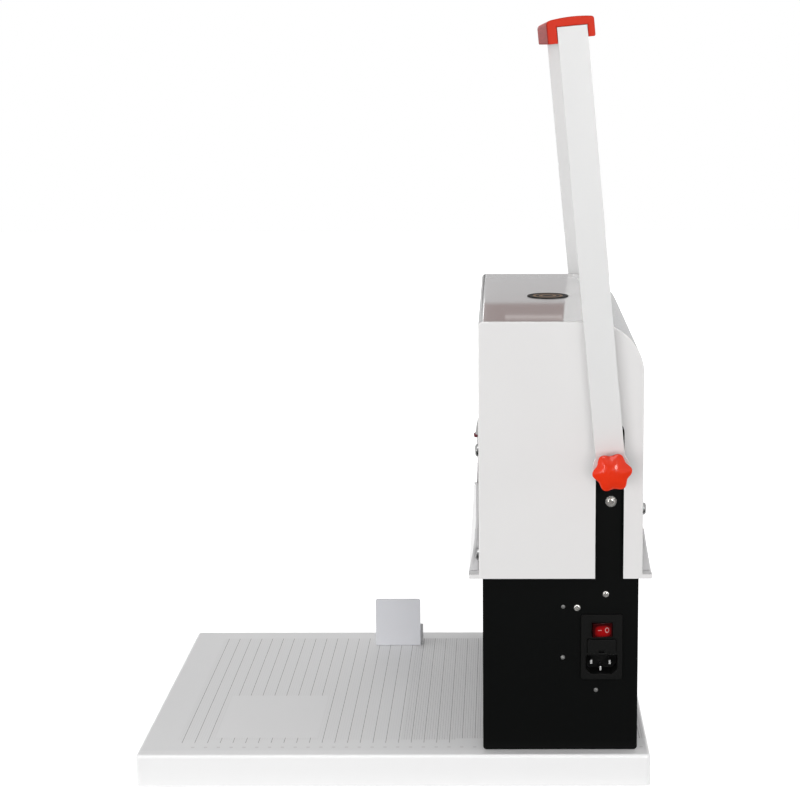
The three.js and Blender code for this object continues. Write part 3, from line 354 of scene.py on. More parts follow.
    def put_corners(self, places: Sequence[Point]) -> None:
        """Moves the mesh's corners to the given places, in edit mode."""
        mesh = bmesh.from_edit_mesh(self.obj.data)
        mesh.verts.ensure_lookup_table()
        for vertex, place in zip(mesh.verts, places):
            vertex.co = Vector(place) * MM
        bmesh.update_edit_mesh(self.obj.data)

    def select(self, part: Part, test: PlaceTest) -> None:
        """Selects by place, in edit mode.

        Args:
            part: Corners, edges or faces.
            test: Gets the middle in millimetres and the normal, or an edge's direction.
        """
        mesh = bmesh.from_edit_mesh(self.obj.data)
        found = False
        for item in getattr(mesh, part.value):
            if part is Part.VERT:
                middle, way = item.co, item.normal
            elif part is Part.EDGE:
                ends = [v.co for v in item.verts]
                middle, way = (ends[0] + ends[1]) / 2, (ends[1] - ends[0]).normalized()
            else:
                middle, way = item.calc_center_median(), item.normal
            if test(middle / MM, way):
                item.select_set(True)
                found = True
        if not found:
            raise ValueError(f"{self.obj.name}: no {part.value} pass the test")
        bmesh.update_edit_mesh(self.obj.data)

    def close(self) -> Workpiece:
        """Merges doubles and turns every face outwards."""
        with self.editing(Part.VERT):
            bpy.ops.mesh.select_all(action="SELECT")
            bpy.ops.mesh.remove_doubles(threshold=0.001 * MM)
            bpy.ops.mesh.normals_make_consistent(inside=False)
        return self

    def round_edges(self, test: PlaceTest, radius: float, segments: int = 4) -> Workpiece:
        """Bevels the edges that pass a test.

        Args:
            test: Gets an edge's middle and direction.
            radius: Bevel width.
            segments: Bevel segments.

        Returns:
            The same piece.
        """
        with self.editing(Part.EDGE):
            self.select(Part.EDGE, test)
            width = radius * MM
            bpy.ops.mesh.bevel(offset=width, segments=segments, affect="EDGES", clamp_overlap=True)
        return self

    def remove_faces(self, test: PlaceTest) -> Workpiece:
        """Deletes the faces that pass a test."""
        with self.editing(Part.FACE):
            self.select(Part.FACE, test)
            bpy.ops.mesh.delete(type="FACE")
        return self

    def modify(self, kind: str, **settings: object) -> Workpiece:
        """Adds a modifier and applies it.

        Args:
            kind: Modifier type.
            **settings: Its properties.

        Returns:
            The same piece.
        """
        choose(self.obj)
        modifier = self.obj.modifiers.new(kind.lower(), kind)
        for key, value in settings.items():
            setattr(modifier, key, value)
        bpy.ops.object.modifier_apply(modifier=modifier.name)
        return self

    def combine(self, operation: str, others: Sequence[Workpiece]) -> Workpiece:
        """Joins other closed pieces to this one or cuts with them, and removes them.

        Args:
            operation: UNION or DIFFERENCE.
            others: The tool pieces.

        Returns:
            The same piece.
        """
        for other in others:
            self.modify("BOOLEAN", object=other.obj, operation=operation, solver="EXACT")
            other.discard()
        return self

    def cut(self, *others: Workpiece) -> Workpiece:
        """Takes other pieces away from this one."""
        return self.combine("DIFFERENCE", others)

    def join(self, *others: Workpiece) -> Workpiece:
        """Welds other pieces to this one."""
        return self.combine("UNION", others)

    def add(self, *others: Workpiece) -> Workpiece:
        """Puts other pieces in this one's mesh as they are."""
        choose(self.obj)
        for other in others:
            other.obj.select_set(True)
        bpy.ops.object.join()
        return self

    def thicken(self, thickness: float) -> Workpiece:
        """Gives a sheet its thickness, behind its faces."""
        return self.modify("SOLIDIFY", thickness=thickness * MM, offset=-1, use_even_offset=True)

    def soften(self, width: float, segments: int = 2, angle: float = 30) -> Workpiece:
        """Breaks every edge sharper than an angle with a small bevel."""
        return self.modify(
            "BEVEL", width=width * MM, segments=segments, limit_method="ANGLE",
            angle_limit=math.radians(angle), use_clamp_overlap=True,
        )

    def transform(self, matrix: Matrix) -> Workpiece:
        """Moves the mesh, with the object left at the origin."""
        self.obj.data.transform(matrix)
        self.obj.data.update()
        return self

    def turn_about(self, centre: Point, axis: Axis, degrees: float) -> Workpiece:
        """Turns the mesh right-handed about a line.

        Args:
            centre: A point of the line.
            axis: The line's direction.
            degrees: Angle.

        Returns:
            The same piece.
        """
        middle = Matrix.Translation(Vector(centre) * MM)
        turn = Matrix.Rotation(math.radians(degrees), 4, axis.name)
        return self.transform(middle @ turn @ middle.inverted())

    def copy_to(self, name: str, matrix: Matrix) -> Workpiece:
        """A copy with its own mesh at another place.

        Args:
            name: Name of the copy.
            matrix: Where it goes.

        Returns:
            The copy.
        """
        obj = self.obj.copy()
        obj.data = self.obj.data.copy()
        obj.name = name
        bpy.context.scene.collection.objects.link(obj)
        return Workpiece(obj).transform(matrix)

    def discard(self) -> None:
        """Removes the piece."""
        bpy.data.objects.remove(self.obj)

    def smooth(self, angle: float = 30) -> Workpiece:
        """Smooth shading up to an angle between faces, with large faces kept flat."""
        choose(self.obj)
        bpy.ops.object.shade_smooth_by_angle(angle=math.radians(angle))
        return self.modify("WEIGHTED_NORMAL", keep_sharp=True)

    def paint(self, *finishes: Finish) -> Workpiece:
        """Gives the piece its finishes, the first for all of its faces."""
        self.obj.data.materials.clear()
        for finish in finishes:
            self.obj.data.materials.append(finish.material())
        return self

    def paint_faces(self, index: int, test: PlaceTest) -> Workpiece:
        """Gives some faces another of the piece's finishes.

        Args:
            index: Place of the finish in the piece's list.
            test: Gets a face's middle and normal.

        Returns:
            The same piece.
        """
        for face in self.obj.data.polygons:
            if test(face.center / MM, face.normal):
                face.material_index = index
        return self

    def hang(self, body: Body, slot: str | None = None, node: str | None = None) -> Workpiece:
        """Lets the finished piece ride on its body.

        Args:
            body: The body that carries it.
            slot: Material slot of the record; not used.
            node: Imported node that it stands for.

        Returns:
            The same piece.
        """
        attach(self.obj, body.value)
        if node:
            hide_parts(node)
        log.info("%s rides on %s", self.obj.name, body.value)
        return self


def dress_copy(
    node: str, name: str, finish: Finish, body: Body, slot: str, width: float = 0, angle: float = 30
) -> Workpiece:
    """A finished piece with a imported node's shape.

    Args:
        node: Node that it copies and stands for.
        name: Piece name.
        finish: Its finish.
        body: The body that carries it.
        slot: Material slot of the record.
        width: How far its sharp edges are broken.
        angle: Smooth shading up to this angle.

    Returns:
        The piece.
    """
    piece = Workpiece.copy_of_node(node, name)
    if width:
        piece.soften(width)
    return piece.smooth(angle).paint(finish).hang(body, slot, node)


def arc(centre: Pair, radius: float, start: float, end: float, steps: int) -> list[Pair]:
    """Points of an arc from one angle in degrees to another, both ends among them."""
    angles = [math.radians(start + (end - start) * i / steps) for i in range(steps + 1)]
    return [(centre[0] + radius * math.cos(a), centre[1] + radius * math.sin(a)) for a in angles]


def bow(start: Pair, control: Pair, end: Pair, steps: int) -> list[Pair]:
    """Points of a quadratic curve.

    Args:
        start: First point.
        control: Control point.
        end: Last point.
        steps: Number of steps.

    Returns:
        The points, both ends among them.
    """
    points = []
    for i in range(steps + 1):
        t = i / steps
        shares = ((1 - t) ** 2, 2 * t * (1 - t), t * t)
        corners = list(zip(shares, (start, control, end)))
        points.append(tuple(sum(share * corner[k] for share, corner in corners) for k in (0, 1)))
    return points


def rgba(colour: Colour) -> tuple[float, float, float, float]:
    """A colour with its alpha."""
    return (*colour, 1.0)


def set_inputs(node: bpy.types.Node, **values: object) -> None:
    """Sets inputs of a node by their names, with _ for a space."""
    for key, value in values.items():
        node.inputs[key.replace("_", " ")].default_value = value


class NodeSheet:
    """Adds and joins nodes in a material or a node group."""

    def __init__(self, tree: bpy.types.NodeTree) -> None:
        """Takes the tree to draw in."""
        self.tree = tree

    def put(self, value: object, target: bpy.types.NodeSocket) -> None:
        """Joins an output to an input, or sets the input to a plain value."""
        if isinstance(value, bpy.types.NodeSocket):
            self.tree.links.new(value, target)
        else:
            target.default_value = value

    def add(
        self, kind: str, inputs: dict[object, object] | None = None, **settings: object
    ) -> bpy.types.bpy_prop_collection:
        """Adds a node.

        Args:
            kind: Node type without its ShaderNode prefix.
            inputs: Values or sockets for its inputs, by name or number.
            **settings: Its properties.

        Returns:
            The node's outputs.
        """
        node = self.tree.nodes.new("ShaderNode" + kind)
        for key, value in settings.items():
            setattr(node, key, value)
        for key, value in (inputs or {}).items():
            self.put(value, node.inputs[key])
        return node.outputs

    def math(self, operation: str, *inputs: object, clamp: bool = False) -> bpy.types.NodeSocket:
        """Adds a Math node on numbers or sockets and gives its output."""
        return self.add("Math", dict(enumerate(inputs)), operation=operation, use_clamp=clamp)[0]

    def product(self, first: object, *others: object) -> bpy.types.NodeSocket:
        """Multiplies values one after the other."""
        for other in others:
            first = self.math("MULTIPLY", first, other)
        return first

    def between(self, value: object, low: float, high: float) -> bpy.types.NodeSocket:
        """1 where a value lies between two lengths in millimetres, 0 elsewhere."""
        above = self.math("GREATER_THAN", value, low * MM)
        return self.product(above, self.math("LESS_THAN", value, high * MM))

    def distance(self, across: object, along: object) -> bpy.types.NodeSocket:
        """Length of a vector in a plane."""
        squares = (self.product(value, value) for value in (across, along))
        return self.math("SQRT", self.math("ADD", *squares))

    def scaled(
        self, value: object, low: float, high: float, to_low: float = 0.0, to_high: float = 1.0
    ) -> bpy.types.NodeSocket:
        """Adds a Map Range node, from low and high to the other two, and gives its output."""
        return self.add("MapRange", dict(enumerate((value, low, high, to_low, to_high))))[0]

    def blend(self, share: object, first: object, second: object) -> bpy.types.NodeSocket:
        """Mixes a share of the second colour into the first."""
        return self.add("Mix", {0: share, 6: first, 7: second}, data_type="RGBA")[2]

    def noise(self, vector: object, scale: object, detail: float = 2.0) -> bpy.types.NodeSocket:
        """Adds a Noise node and gives its factor."""
        return self.add("TexNoise", {"Vector": vector, "Scale": scale, "Detail": detail})["Fac"]

    def axes(self, vector: object) -> Sequence[bpy.types.NodeSocket]:
        """X, Y and Z of a vector."""
        return list(self.add("SeparateXYZ", {0: vector}))

    def upward(self) -> bpy.types.NodeSocket:
        """How much the surface faces up."""
        return self.axes(self.add("NewGeometry")["Normal"])[2]

    def centred(self, where: object, centre: Point) -> bpy.types.NodeSocket:
        """Object coordinates counted from a place in millimetres."""
        return self.add("Mapping", {"Vector": where, "Location": [-c * MM for c in centre]})[0]


Field = tuple[str, str, object]

PLACE: Field = ("Vector", "NodeSocketVector", (0, 0, 0))


def number(name: str, value: float = 0.0) -> Field:
    """A number that goes into or comes out of an effect."""
    return name, "NodeSocketFloat", value


class EffectGroup:
    """A shader node group that several finishes share. It is built once."""

    name = "effect"
    inputs: Sequence[Field] = (PLACE,)
    outputs: Sequence[Field] = (number("Mask"),)

    def tree(self) -> bpy.types.NodeTree:
        """The group's tree, built the first time it is asked for."""
        found = bpy.data.node_groups.get(self.name)
        if found:
            return found
        tree = bpy.data.node_groups.new(self.name, "ShaderNodeTree")
        for way, fields in (("INPUT", self.inputs), ("OUTPUT", self.outputs)):
            for name, kind, value in fields:
                socket = tree.interface.new_socket(name=name, in_out=way, socket_type=kind)
                socket.default_value = value
        source, target = (tree.nodes.new(kind) for kind in ("NodeGroupInput", "NodeGroupOutput"))
        sheet = NodeSheet(tree)
        for name, value in self.draw(sheet, source.outputs).items():
            sheet.put(value, target.inputs[name])
        return tree

    def draw(self, sheet: NodeSheet, given: object) -> dict[str, object]:
        """Draws the effect's nodes.

        Args:
            sheet: Where to draw.
            given: The group's input values, by name.

        Returns:
            The group's results, by name.
        """
        raise NotImplementedError

    def place(self, sheet: NodeSheet, **values: object) -> bpy.types.bpy_prop_collection:
        """Puts the group in a material, with its own input values, and gives its outputs."""
        return sheet.add("Group", values, node_tree=self.tree())


class ToneVariation(EffectGroup):
    """Slow, faint change of a colour over the surface, with a mask for the roughness."""

    name = "tone_variation"
    inputs = (
        PLACE, ("Colour", "NodeSocketColor", (1, 1, 1, 1)), number("Depth", 0.05),
        number("Scale", 12.0),
    )
    outputs = (("Colour", "NodeSocketColor", (0, 0, 0, 1)), number("Mask"))

    def draw(self, sheet: NodeSheet, given: object) -> dict[str, object]:
        """Noise that darkens the colour a little."""
        mask = sheet.noise(given["Vector"], given["Scale"], 4)
        keep = sheet.math("SUBTRACT", 1.0, sheet.product(mask, given["Depth"]))
        dim = sheet.add("VectorMath", {0: given["Colour"], "Scale": keep}, operation="SCALE")
        return {"Colour": dim[0], "Mask": mask}


class FineGrain(EffectGroup):
    """Height of an orange peel or moulded grain."""

    name = "fine_grain"
    inputs = (PLACE, number("Scale", 900.0), number("Depth", 0.000003))
    outputs = (number("Height"),)
    fineness = 1.7

    def draw(self, sheet: NodeSheet, given: object) -> dict[str, object]:
        """Two sizes of noise on each other."""
        coarse = sheet.noise(given["Vector"], given["Scale"])
        cells = {"Vector": given["Vector"], "Scale": sheet.product(given["Scale"], self.fineness)}
        fine = sheet.add("TexVoronoi", cells, feature="SMOOTH_F1")["Distance"]
        both = sheet.math("ADD", coarse, fine)
        return {"Height": sheet.product(both, given["Depth"])}


class DrawnLines(EffectGroup):
    """Fine scratches along one direction, as on drawn or ground metal."""

    name = "drawn_lines"
    inputs = (PLACE, ("Stretch", "NodeSocketVector", (1, 1, 1)), number("Depth", 0.000002))
    outputs = (number("Height"), number("Mask"))

    def draw(self, sheet: NodeSheet, given: object) -> dict[str, object]:
        """Noise on stretched coordinates."""
        both = {0: given["Vector"], 1: given["Stretch"]}
        lines = sheet.noise(sheet.add("VectorMath", both, operation="MULTIPLY")[0], 1.0, 3)
        return {"Height": sheet.product(lines, given["Depth"]), "Mask": lines}


class EdgeRub(EffectGroup):
    """Mask of edges where paint or blacking is rubbed thin."""

    name = "edge_rub"
    inputs = (PLACE, number("Radius", 0.0006), number("Amount", 0.5))
    patches = 260
    bent: Pair = (0.99, 0.85)
    broken: Pair = (0.4, 0.6)

    def draw(self, sheet: NodeSheet, given: object) -> dict[str, object]:
        """Where a rounded normal leaves the true one, broken up by noise."""
        rounded = sheet.add("Bevel", {"Radius": given["Radius"]}, samples=4)[0]
        both = {0: rounded, 1: sheet.add("NewGeometry")["Normal"]}
        match = sheet.add("VectorMath", both, operation="DOT_PRODUCT")["Value"]
        noise = sheet.noise(given["Vector"], self.patches)
        mask = sheet.product(sheet.scaled(match, *self.bent), sheet.scaled(noise, *self.broken))
        return {"Mask": sheet.math("MULTIPLY", mask, given["Amount"], clamp=True)}


class SettledDust(EffectGroup):
    """Mask of thin dust on what faces up."""

    name = "settled_dust"
    inputs = (PLACE, number("Amount", 0.1))
    patches = 45
    broken = (0.35, 0.75, 0.2, 1.0)

    def draw(self, sheet: NodeSheet, given: object) -> dict[str, object]:
        """The upward share of the normal, broken up by noise."""
        upward = sheet.scaled(sheet.upward(), 0.5, 1.0)
        noise = sheet.noise(given["Vector"], self.patches, 5)
        mask = sheet.product(upward, sheet.scaled(noise, *self.broken))
        return {"Mask": sheet.math("MULTIPLY", mask, given["Amount"], clamp=True)}


class PaperRuling(EffectGroup):
    """Printed ruling for placing paper: lines across the platform, and marks at the near edge."""

    name = "paper_ruling"
    outputs = (number("Lines"), number("Marks"))

    pitch = 10.05
    first_line = 2.9
    line_half = 0.23
    left_end = -143.0
    right_end = 137.0
    front_end = -172.0
    bare_x: Pair = (21.0, 125.0)
    bare_y: Pair = (-142.8, -62.4)
    clear_x: Pair = (127.0, 150.0)
    clear_from = 48.0
    fine_pitch = 2.01
    fine_half = 0.16
    fine_from = 5.0
    fine_right_end = 130.0
    faint = 0.16
    dense = 0.55
    mark_x: Pair = (145.8, 148.0)
    mark_half = 1.3
    mark_front_end = -166.0

    def lines(
        self, sheet: NodeSheet, value: object, start: float, pitch: float, half: float
    ) -> bpy.types.NodeSocket:
        """1 on lines at an even pitch, 0 between them."""
        off = sheet.math("PINGPONG", sheet.math("SUBTRACT", value, start * MM), pitch / 2 * MM)
        return sheet.math("LESS_THAN", off, half * MM)

    def draw(self, sheet: NodeSheet, given: object) -> dict[str, object]:
        """Bands of x times lines of y, less the bare field."""
        x, y, _ = sheet.axes(given["Vector"])

        def behind(start: float) -> bpy.types.NodeSocket:
            """1 behind a place in millimetres, 0 in front of it."""
            return sheet.math("GREATER_THAN", y, start * MM)

        main = self.lines(sheet, y, self.first_line, self.pitch, self.line_half)
        wide = sheet.between(x, self.left_end, self.right_end)
        field = sheet.product(wide, behind(self.front_end))
        bare = sheet.product(sheet.between(x, *self.bare_x), sheet.between(y, *self.bare_y))
        clear = sheet.product(sheet.between(x, *self.clear_x), behind(self.clear_from))
        plain = sheet.math("SUBTRACT", 1.0, sheet.math("MAXIMUM", bare, clear))
        printed = sheet.product(main, field, plain)
        along = self.lines(sheet, y, self.first_line, self.fine_pitch, self.fine_half)
        across = self.lines(sheet, x, 0.0, self.fine_pitch, self.fine_half)
        strength = sheet.scaled(behind(self.fine_from), 0, 1, self.faint, self.dense)
        inside = sheet.between(x, self.left_end, self.fine_right_end)
        fine = sheet.product(sheet.math("MAXIMUM", along, across), plain, inside, field, strength)
        dots = self.lines(sheet, y, self.first_line, self.pitch, self.mark_half)
        marks = sheet.product(dots, sheet.between(x, *self.mark_x), behind(self.mark_front_end))
        return {"Lines": sheet.math("MAXIMUM", printed, fine), "Marks": marks}


class Rings(EffectGroup):
    """Plain rings round the middle of a disc."""

    name = "badge_rings"
    bands: Sequence[Pair] = ((10.2, 12.4), (4.6, 7.2))

    def draw(self, sheet: NodeSheet, given: object) -> dict[str, object]:
        """1 on each band of the distance from the middle."""
        distance = sheet.distance(*sheet.axes(given["Vector"])[:2])
        rings = (sheet.between(distance, *band) for band in self.bands)
        return {"Mask": sheet.math("MAXIMUM", *rings)}


@dataclass(frozen=True)
class Finish:
    """A surface finish. Subclasses add what is special to theirs."""

    name: str
    colour: Colour
    roughness: float
    metallic: float = 0.0
    coat: float = 0.0
    coat_roughness: float = 0.08
    specular: float = 0.5
    tone_depth: float = 0.04
    tone_scale: float = 14.0
    grain_scale: float = 900.0
    grain_depth: float = 0.000002
    roughness_swing: float = 0.06
    rub: float = 0.0
    rub_colour: Colour = (0.3, 0.3, 0.3)
    dust: float = 0.0
    dust_colour: Colour = (0.55, 0.54, 0.52)

    def material(self) -> bpy.types.Material:
        """The Blender material of this finish, built the first time it is asked for."""
        found = bpy.data.materials.get(self.name)
        if found:
            return found
        material = bpy.data.materials.new(self.name)
        material.use_nodes = True
        sheet = NodeSheet(material.node_tree)
        shader = material.node_tree.nodes["Principled BSDF"]
        set_inputs(
            shader, Metallic=self.metallic, Specular_IOR_Level=self.specular,
            Coat_Weight=self.coat, Coat_Roughness=self.coat_roughness,
        )
        where = sheet.add("TexCoord")["Object"]
        tone = ToneVariation().place(
            sheet, Vector=where, Colour=rgba(self.colour), Depth=self.tone_depth,
            Scale=self.tone_scale,
        )
        colour = self.tint(sheet, where, tone["Colour"])
        for effect, amount, other in (
            (EdgeRub(), self.rub, self.rub_colour), (SettledDust(), self.dust, self.dust_colour),
        ):
            if amount:
                mask = effect.place(sheet, Vector=where, Amount=amount)["Mask"]
                colour = sheet.blend(mask, colour, rgba(other))
        sheet.put(colour, shader.inputs["Base Color"])
        half = self.roughness_swing / 2
        rough = sheet.scaled(tone["Mask"], 0, 1, self.roughness - half, self.roughness + half)
        sheet.put(rough, shader.inputs["Roughness"])
        bump = sheet.add("Bump", {"Distance": 1.0, "Height": self.relief(sheet, where)})
        sheet.put(bump["Normal"], shader.inputs["Normal"])
        self.special(shader)
        return material

    def tint(self, sheet: NodeSheet, where: object, colour: object) -> object:
        """Colour of the finish, from its varied plain colour."""
        return colour

    def relief(self, sheet: NodeSheet, where: object) -> object:
        """Height of the finish's relief in metres."""
        scale, depth = self.grain_scale, self.grain_depth
        return FineGrain().place(sheet, Vector=where, Scale=scale, Depth=depth)["Height"]

    def special(self, shader: bpy.types.Node) -> None:
        """Settings of the shader that only this finish has."""


@dataclass(frozen=True)
class GroundMetal(Finish):
    """Metal with fine lines left by turning, drawing or grinding."""

    metallic: float = 1.0
    stretch: Point = (160.0, 160.0, 7000.0)
    line_depth: float = 0.0000015

    def relief(self, sheet: NodeSheet, where: object) -> object:
        """Lines instead of grain."""
        stretch, depth = self.stretch, self.line_depth
        return DrawnLines().place(sheet, Vector=where, Stretch=stretch, Depth=depth)["Height"]


@dataclass(frozen=True)
class PrintedDeck(Finish):
    """Printed platform paint, with painted light near the fold and painted shade on the sides."""

    ink: Colour = (0.2, 0.18, 0.18)
    mark_ink: Colour = (0.44, 0.41, 0.41)
    # A painted highlight towards the near fold, then painted shade for the faces that don't look
    # up.
    border: Colour = (0.985, 0.985, 0.985)
    sides: Colour = (0.89, 0.89, 0.89)
    border_x: Pair = (152.5, 155.5)
    line_share: float = 0.8
    mark_share: float = 0.4

    def tint(self, sheet: NodeSheet, where: object, colour: object) -> object:
        """Ruling only on what faces up, painted light near the fold and painted shade on the sides.
        """
        ruling = PaperRuling().place(sheet, Vector=where)
        slope = sheet.upward()
        top = sheet.math("GREATER_THAN", slope, STRAIGHT)
        # Painted light: the deck lightens towards the near fold, where the bend catches the light.
        fold_light = sheet.scaled(sheet.axes(where)[0], *(edge * MM for edge in self.border_x))
        colour = sheet.blend(fold_light, colour, rgba(self.border))
        for part, share, ink in (
            ("Marks", self.mark_share, self.mark_ink), ("Lines", self.line_share, self.ink),
        ):
            colour = sheet.blend(sheet.product(ruling[part], top, share), colour, rgba(ink))
        # Painted shade: faces that don't look up take the darker side colour of the same paint.
        return sheet.blend(sheet.scaled(slope, 0.1, STRAIGHT), rgba(self.sides), colour)


@dataclass(frozen=True)
class RingedBadge(Finish):
    """Dark lacquer with plain gilt rings."""

    gilt: Colour = (0.3, 0.19, 0.11)
    centre: Point = (0.0, 0.0, 0.0)

    def tint(self, sheet: NodeSheet, where: object, colour: object) -> object:
        """Gilt where the rings are."""
        mask = Rings().place(sheet, Vector=sheet.centred(where, self.centre))["Mask"]
        return sheet.blend(mask, colour, rgba(self.gilt))


@dataclass(frozen=True)
class ClearPlastic(Finish):
    """Plastic that lets some light into it."""

    depth: float = 0.0012
    share: float = 0.12
    reach: Point = (1.0, 0.3, 0.2)

    def special(self, shader: bpy.types.Node) -> None:
        """A little light under the surface."""
        set_inputs(
            shader, Subsurface_Weight=self.share, Subsurface_Scale=self.depth,
            Subsurface_Radius=self.reach,
        )


@dataclass(frozen=True)
class HandledGrip(ClearPlastic):
    """Grip plastic with painted shade on its front face, broken into streaks along it."""

    pivot: Pair = PIVOT
    lean: float = LEAN
    worn_from: Pair = (-18.3, -17.6)
    worn: Colour = (0.24, 0.012, 0.008)
    streaks: Point = (9.0, 900.0, 900.0)
    streak_range: Sequence[float] = (0.35, 0.65, 0.7, 1.0)

    def tint(self, sheet: NodeSheet, where: object, colour: object) -> object:
        """Painted shade on what lies in front of the lever's own plane, broken into streaks."""
        turn = math.radians(self.lean)
        _, *plane = sheet.axes(where)
        offs = (sheet.math("SUBTRACT", value, at * MM) for value, at in zip(plane, self.pivot))
        turns = (math.cos(turn), math.sin(turn))
        shares = (sheet.product(off, share) for off, share in zip(offs, turns))
        low, high = (edge * MM for edge in self.worn_from)
        front = sheet.scaled(sheet.math("ADD", *shares), low, high, 1.0, 0.0)
        lines = DrawnLines().place(sheet, Vector=where, Stretch=self.streaks)["Mask"]
        streaky = sheet.scaled(lines, *self.streak_range)
        # Painted shade on the front face, broken into streaks.
        return sheet.blend(sheet.product(front, streaky), colour, rgba(self.worn))


@dataclass(frozen=True)
class MarkedRocker(ClearPlastic):
    """Rocker plastic with its printed bar and ring, and painted shade towards its edges."""

    centre: Point = (0.0, 0.0, 0.0)
    ink: Colour = (0.75, 0.6, 0.58)
    ink_share: float = 0.42
    bar_at: float = -1.9
    bar_half: Pair = (1.45, 0.3)
    ring_at: float = 3.7
    ring: Pair = (1.0, 1.6)
    ring_stretch: float = 0.72
    glow_at: Pair = (0.5, -0.8)
    glow_half: Pair = (5.7, 4.1)
    glow_edge: Pair = (0.1, 1.6)
    shade: Colour = (0.03, 0.001, 0.0015)

    def tint(self, sheet: NodeSheet, where: object, colour: object) -> object:
        """Ink where the two marks are, with painted shade that darkens the cap towards its edges.
        """
        _, y, z = sheet.axes(sheet.centred(where, self.centre))
        from_bar = (sheet.math("SUBTRACT", y, self.bar_at * MM), z)
        sides = (
            sheet.math("LESS_THAN", sheet.math("ABSOLUTE", off), half * MM)
            for off, half in zip(from_bar, self.bar_half)
        )
        across = sheet.math("SUBTRACT", y, self.ring_at * MM)
        from_ring = sheet.distance(across, sheet.product(z, self.ring_stretch))
        ring = sheet.between(from_ring, *self.ring)
        marks = sheet.product(sheet.math("MAXIMUM", sheet.product(*sides), ring), self.ink_share)
        # Painted shade: the cap's colour darkens away from its middle, as shade from its bezel
        # would.
        parts = []
        for value, at, half in zip((y, z), self.glow_at, self.glow_half):
            off = sheet.math("DIVIDE", sheet.math("SUBTRACT", value, at * MM), half * MM)
            parts.append(sheet.math("POWER", sheet.math("ABSOLUTE", off), 3.0))
        dim = sheet.scaled(sheet.math("ADD", *parts), *self.glow_edge)
        return sheet.blend(dim, sheet.blend(marks, colour, rgba(self.ink)), rgba(self.shade))


WHITE_PAINT = Finish(
    "white_powder_coat", (0.79, 0.782, 0.778), 0.16, coat=0.8, coat_roughness=0.03,
    tone_depth=0.008, tone_scale=5, grain_scale=420, grain_depth=0.0000002, roughness_swing=0.02,
)
GUARD_PAINT = Finish(
    "white_guard_paint", (0.79, 0.785, 0.785), 0.3, tone_depth=0.01, grain_scale=420,
    grain_depth=0.0000003, roughness_swing=0.02,
)
# The guards' white paint darkened as painted shade, for their webs and end faces.
SHADED_WEB_PAINT = Finish(
    "grey_guard_paint", (0.575, 0.572, 0.577), 0.4, tone_depth=0.01, grain_scale=420,
    grain_depth=0.0000003, roughness_swing=0.02,
)
ARM_PAINT = Finish(
    "white_arm_enamel", (0.722, 0.722, 0.719), 0.3, coat=0.3, coat_roughness=0.06,
    tone_depth=0.01, tone_scale=6, grain_scale=500, grain_depth=0.0000005, roughness_swing=0.03,
    rub=0.12, rub_colour=(0.6, 0.59, 0.57),
)
DECK_PAINT = PrintedDeck(
    "printed_platform_coat", (0.94, 0.94, 0.942), 0.38, coat=0.12, coat_roughness=0.12,
    tone_depth=0.02, tone_scale=6, grain_scale=700, grain_depth=0.000001, roughness_swing=0.05,
)
STOP_PAINT = Finish(
    "grey_stop_paint", (0.655, 0.66, 0.69), 0.45, tone_depth=0.03, grain_scale=800,
    grain_depth=0.000001,
)
BLACK_PAINT = Finish(
    "black_powder_coat", (0.0034, 0.0038, 0.0037), 0.42, specular=0.07, tone_depth=0.15,
    tone_scale=30, grain_scale=1400, grain_depth=0.000003, rub=0.3, rub_colour=(0.02, 0.02, 0.021),
)
RED_PLASTIC = ClearPlastic(
    "orange_red_moulding", (0.76, 0.033, 0.006), 0.2, specular=0.3, tone_depth=0.05,
    grain_scale=1100, grain_depth=0.0000006,
)
# Red grip, with painted shade on its front face.
GRIP_PLASTIC = HandledGrip(
    "red_grip_moulding", (0.66, 0.042, 0.02), 0.4, specular=0.05, tone_depth=0.12, tone_scale=60,
    grain_scale=1000, grain_depth=0.000002,
)
DARK_RED_PLASTIC = ClearPlastic("dark_red_button", (0.14, 0.018, 0.03), 0.25, coat=0.3)
# Clear red rocker, with painted shade towards its edges.
ROCKER_PLASTIC = MarkedRocker(
    "clear_red_rocker", (0.33, 0.003, 0.004), 0.2, specular=0.15, tone_depth=0.15, tone_scale=160,
    depth=0.002, centre=(0.0, *ROCKER),
)
GREY_PLASTIC = Finish("grey_moulding", (0.5, 0.5, 0.5), 0.5, grain_scale=1500, grain_depth=0.000003)
BLACK_PLASTIC = Finish(
    "black_inlet_moulding", (0.0078, 0.008, 0.0077), 0.42, specular=0.08, tone_depth=0.1,
    grain_scale=2200, grain_depth=0.000002, roughness_swing=0.1,
)
RUBBER = Finish(
    "foot_rubber", (0.012, 0.012, 0.012), 0.85, specular=0.3, tone_depth=0.2, grain_scale=1600,
    grain_depth=0.000006, dust=0.1,
)
STEEL = GroundMetal(
    "ground_steel", (0.5, 0.51, 0.52), 0.26, tone_depth=0.1, rub=0.2, rub_colour=(0.7, 0.7, 0.7)
)
PLATED_STEEL = GroundMetal(
    "plated_screw_steel", (0.9, 0.88, 0.84), 0.16, metallic=0.78, tone_depth=0.08, tone_scale=300
)
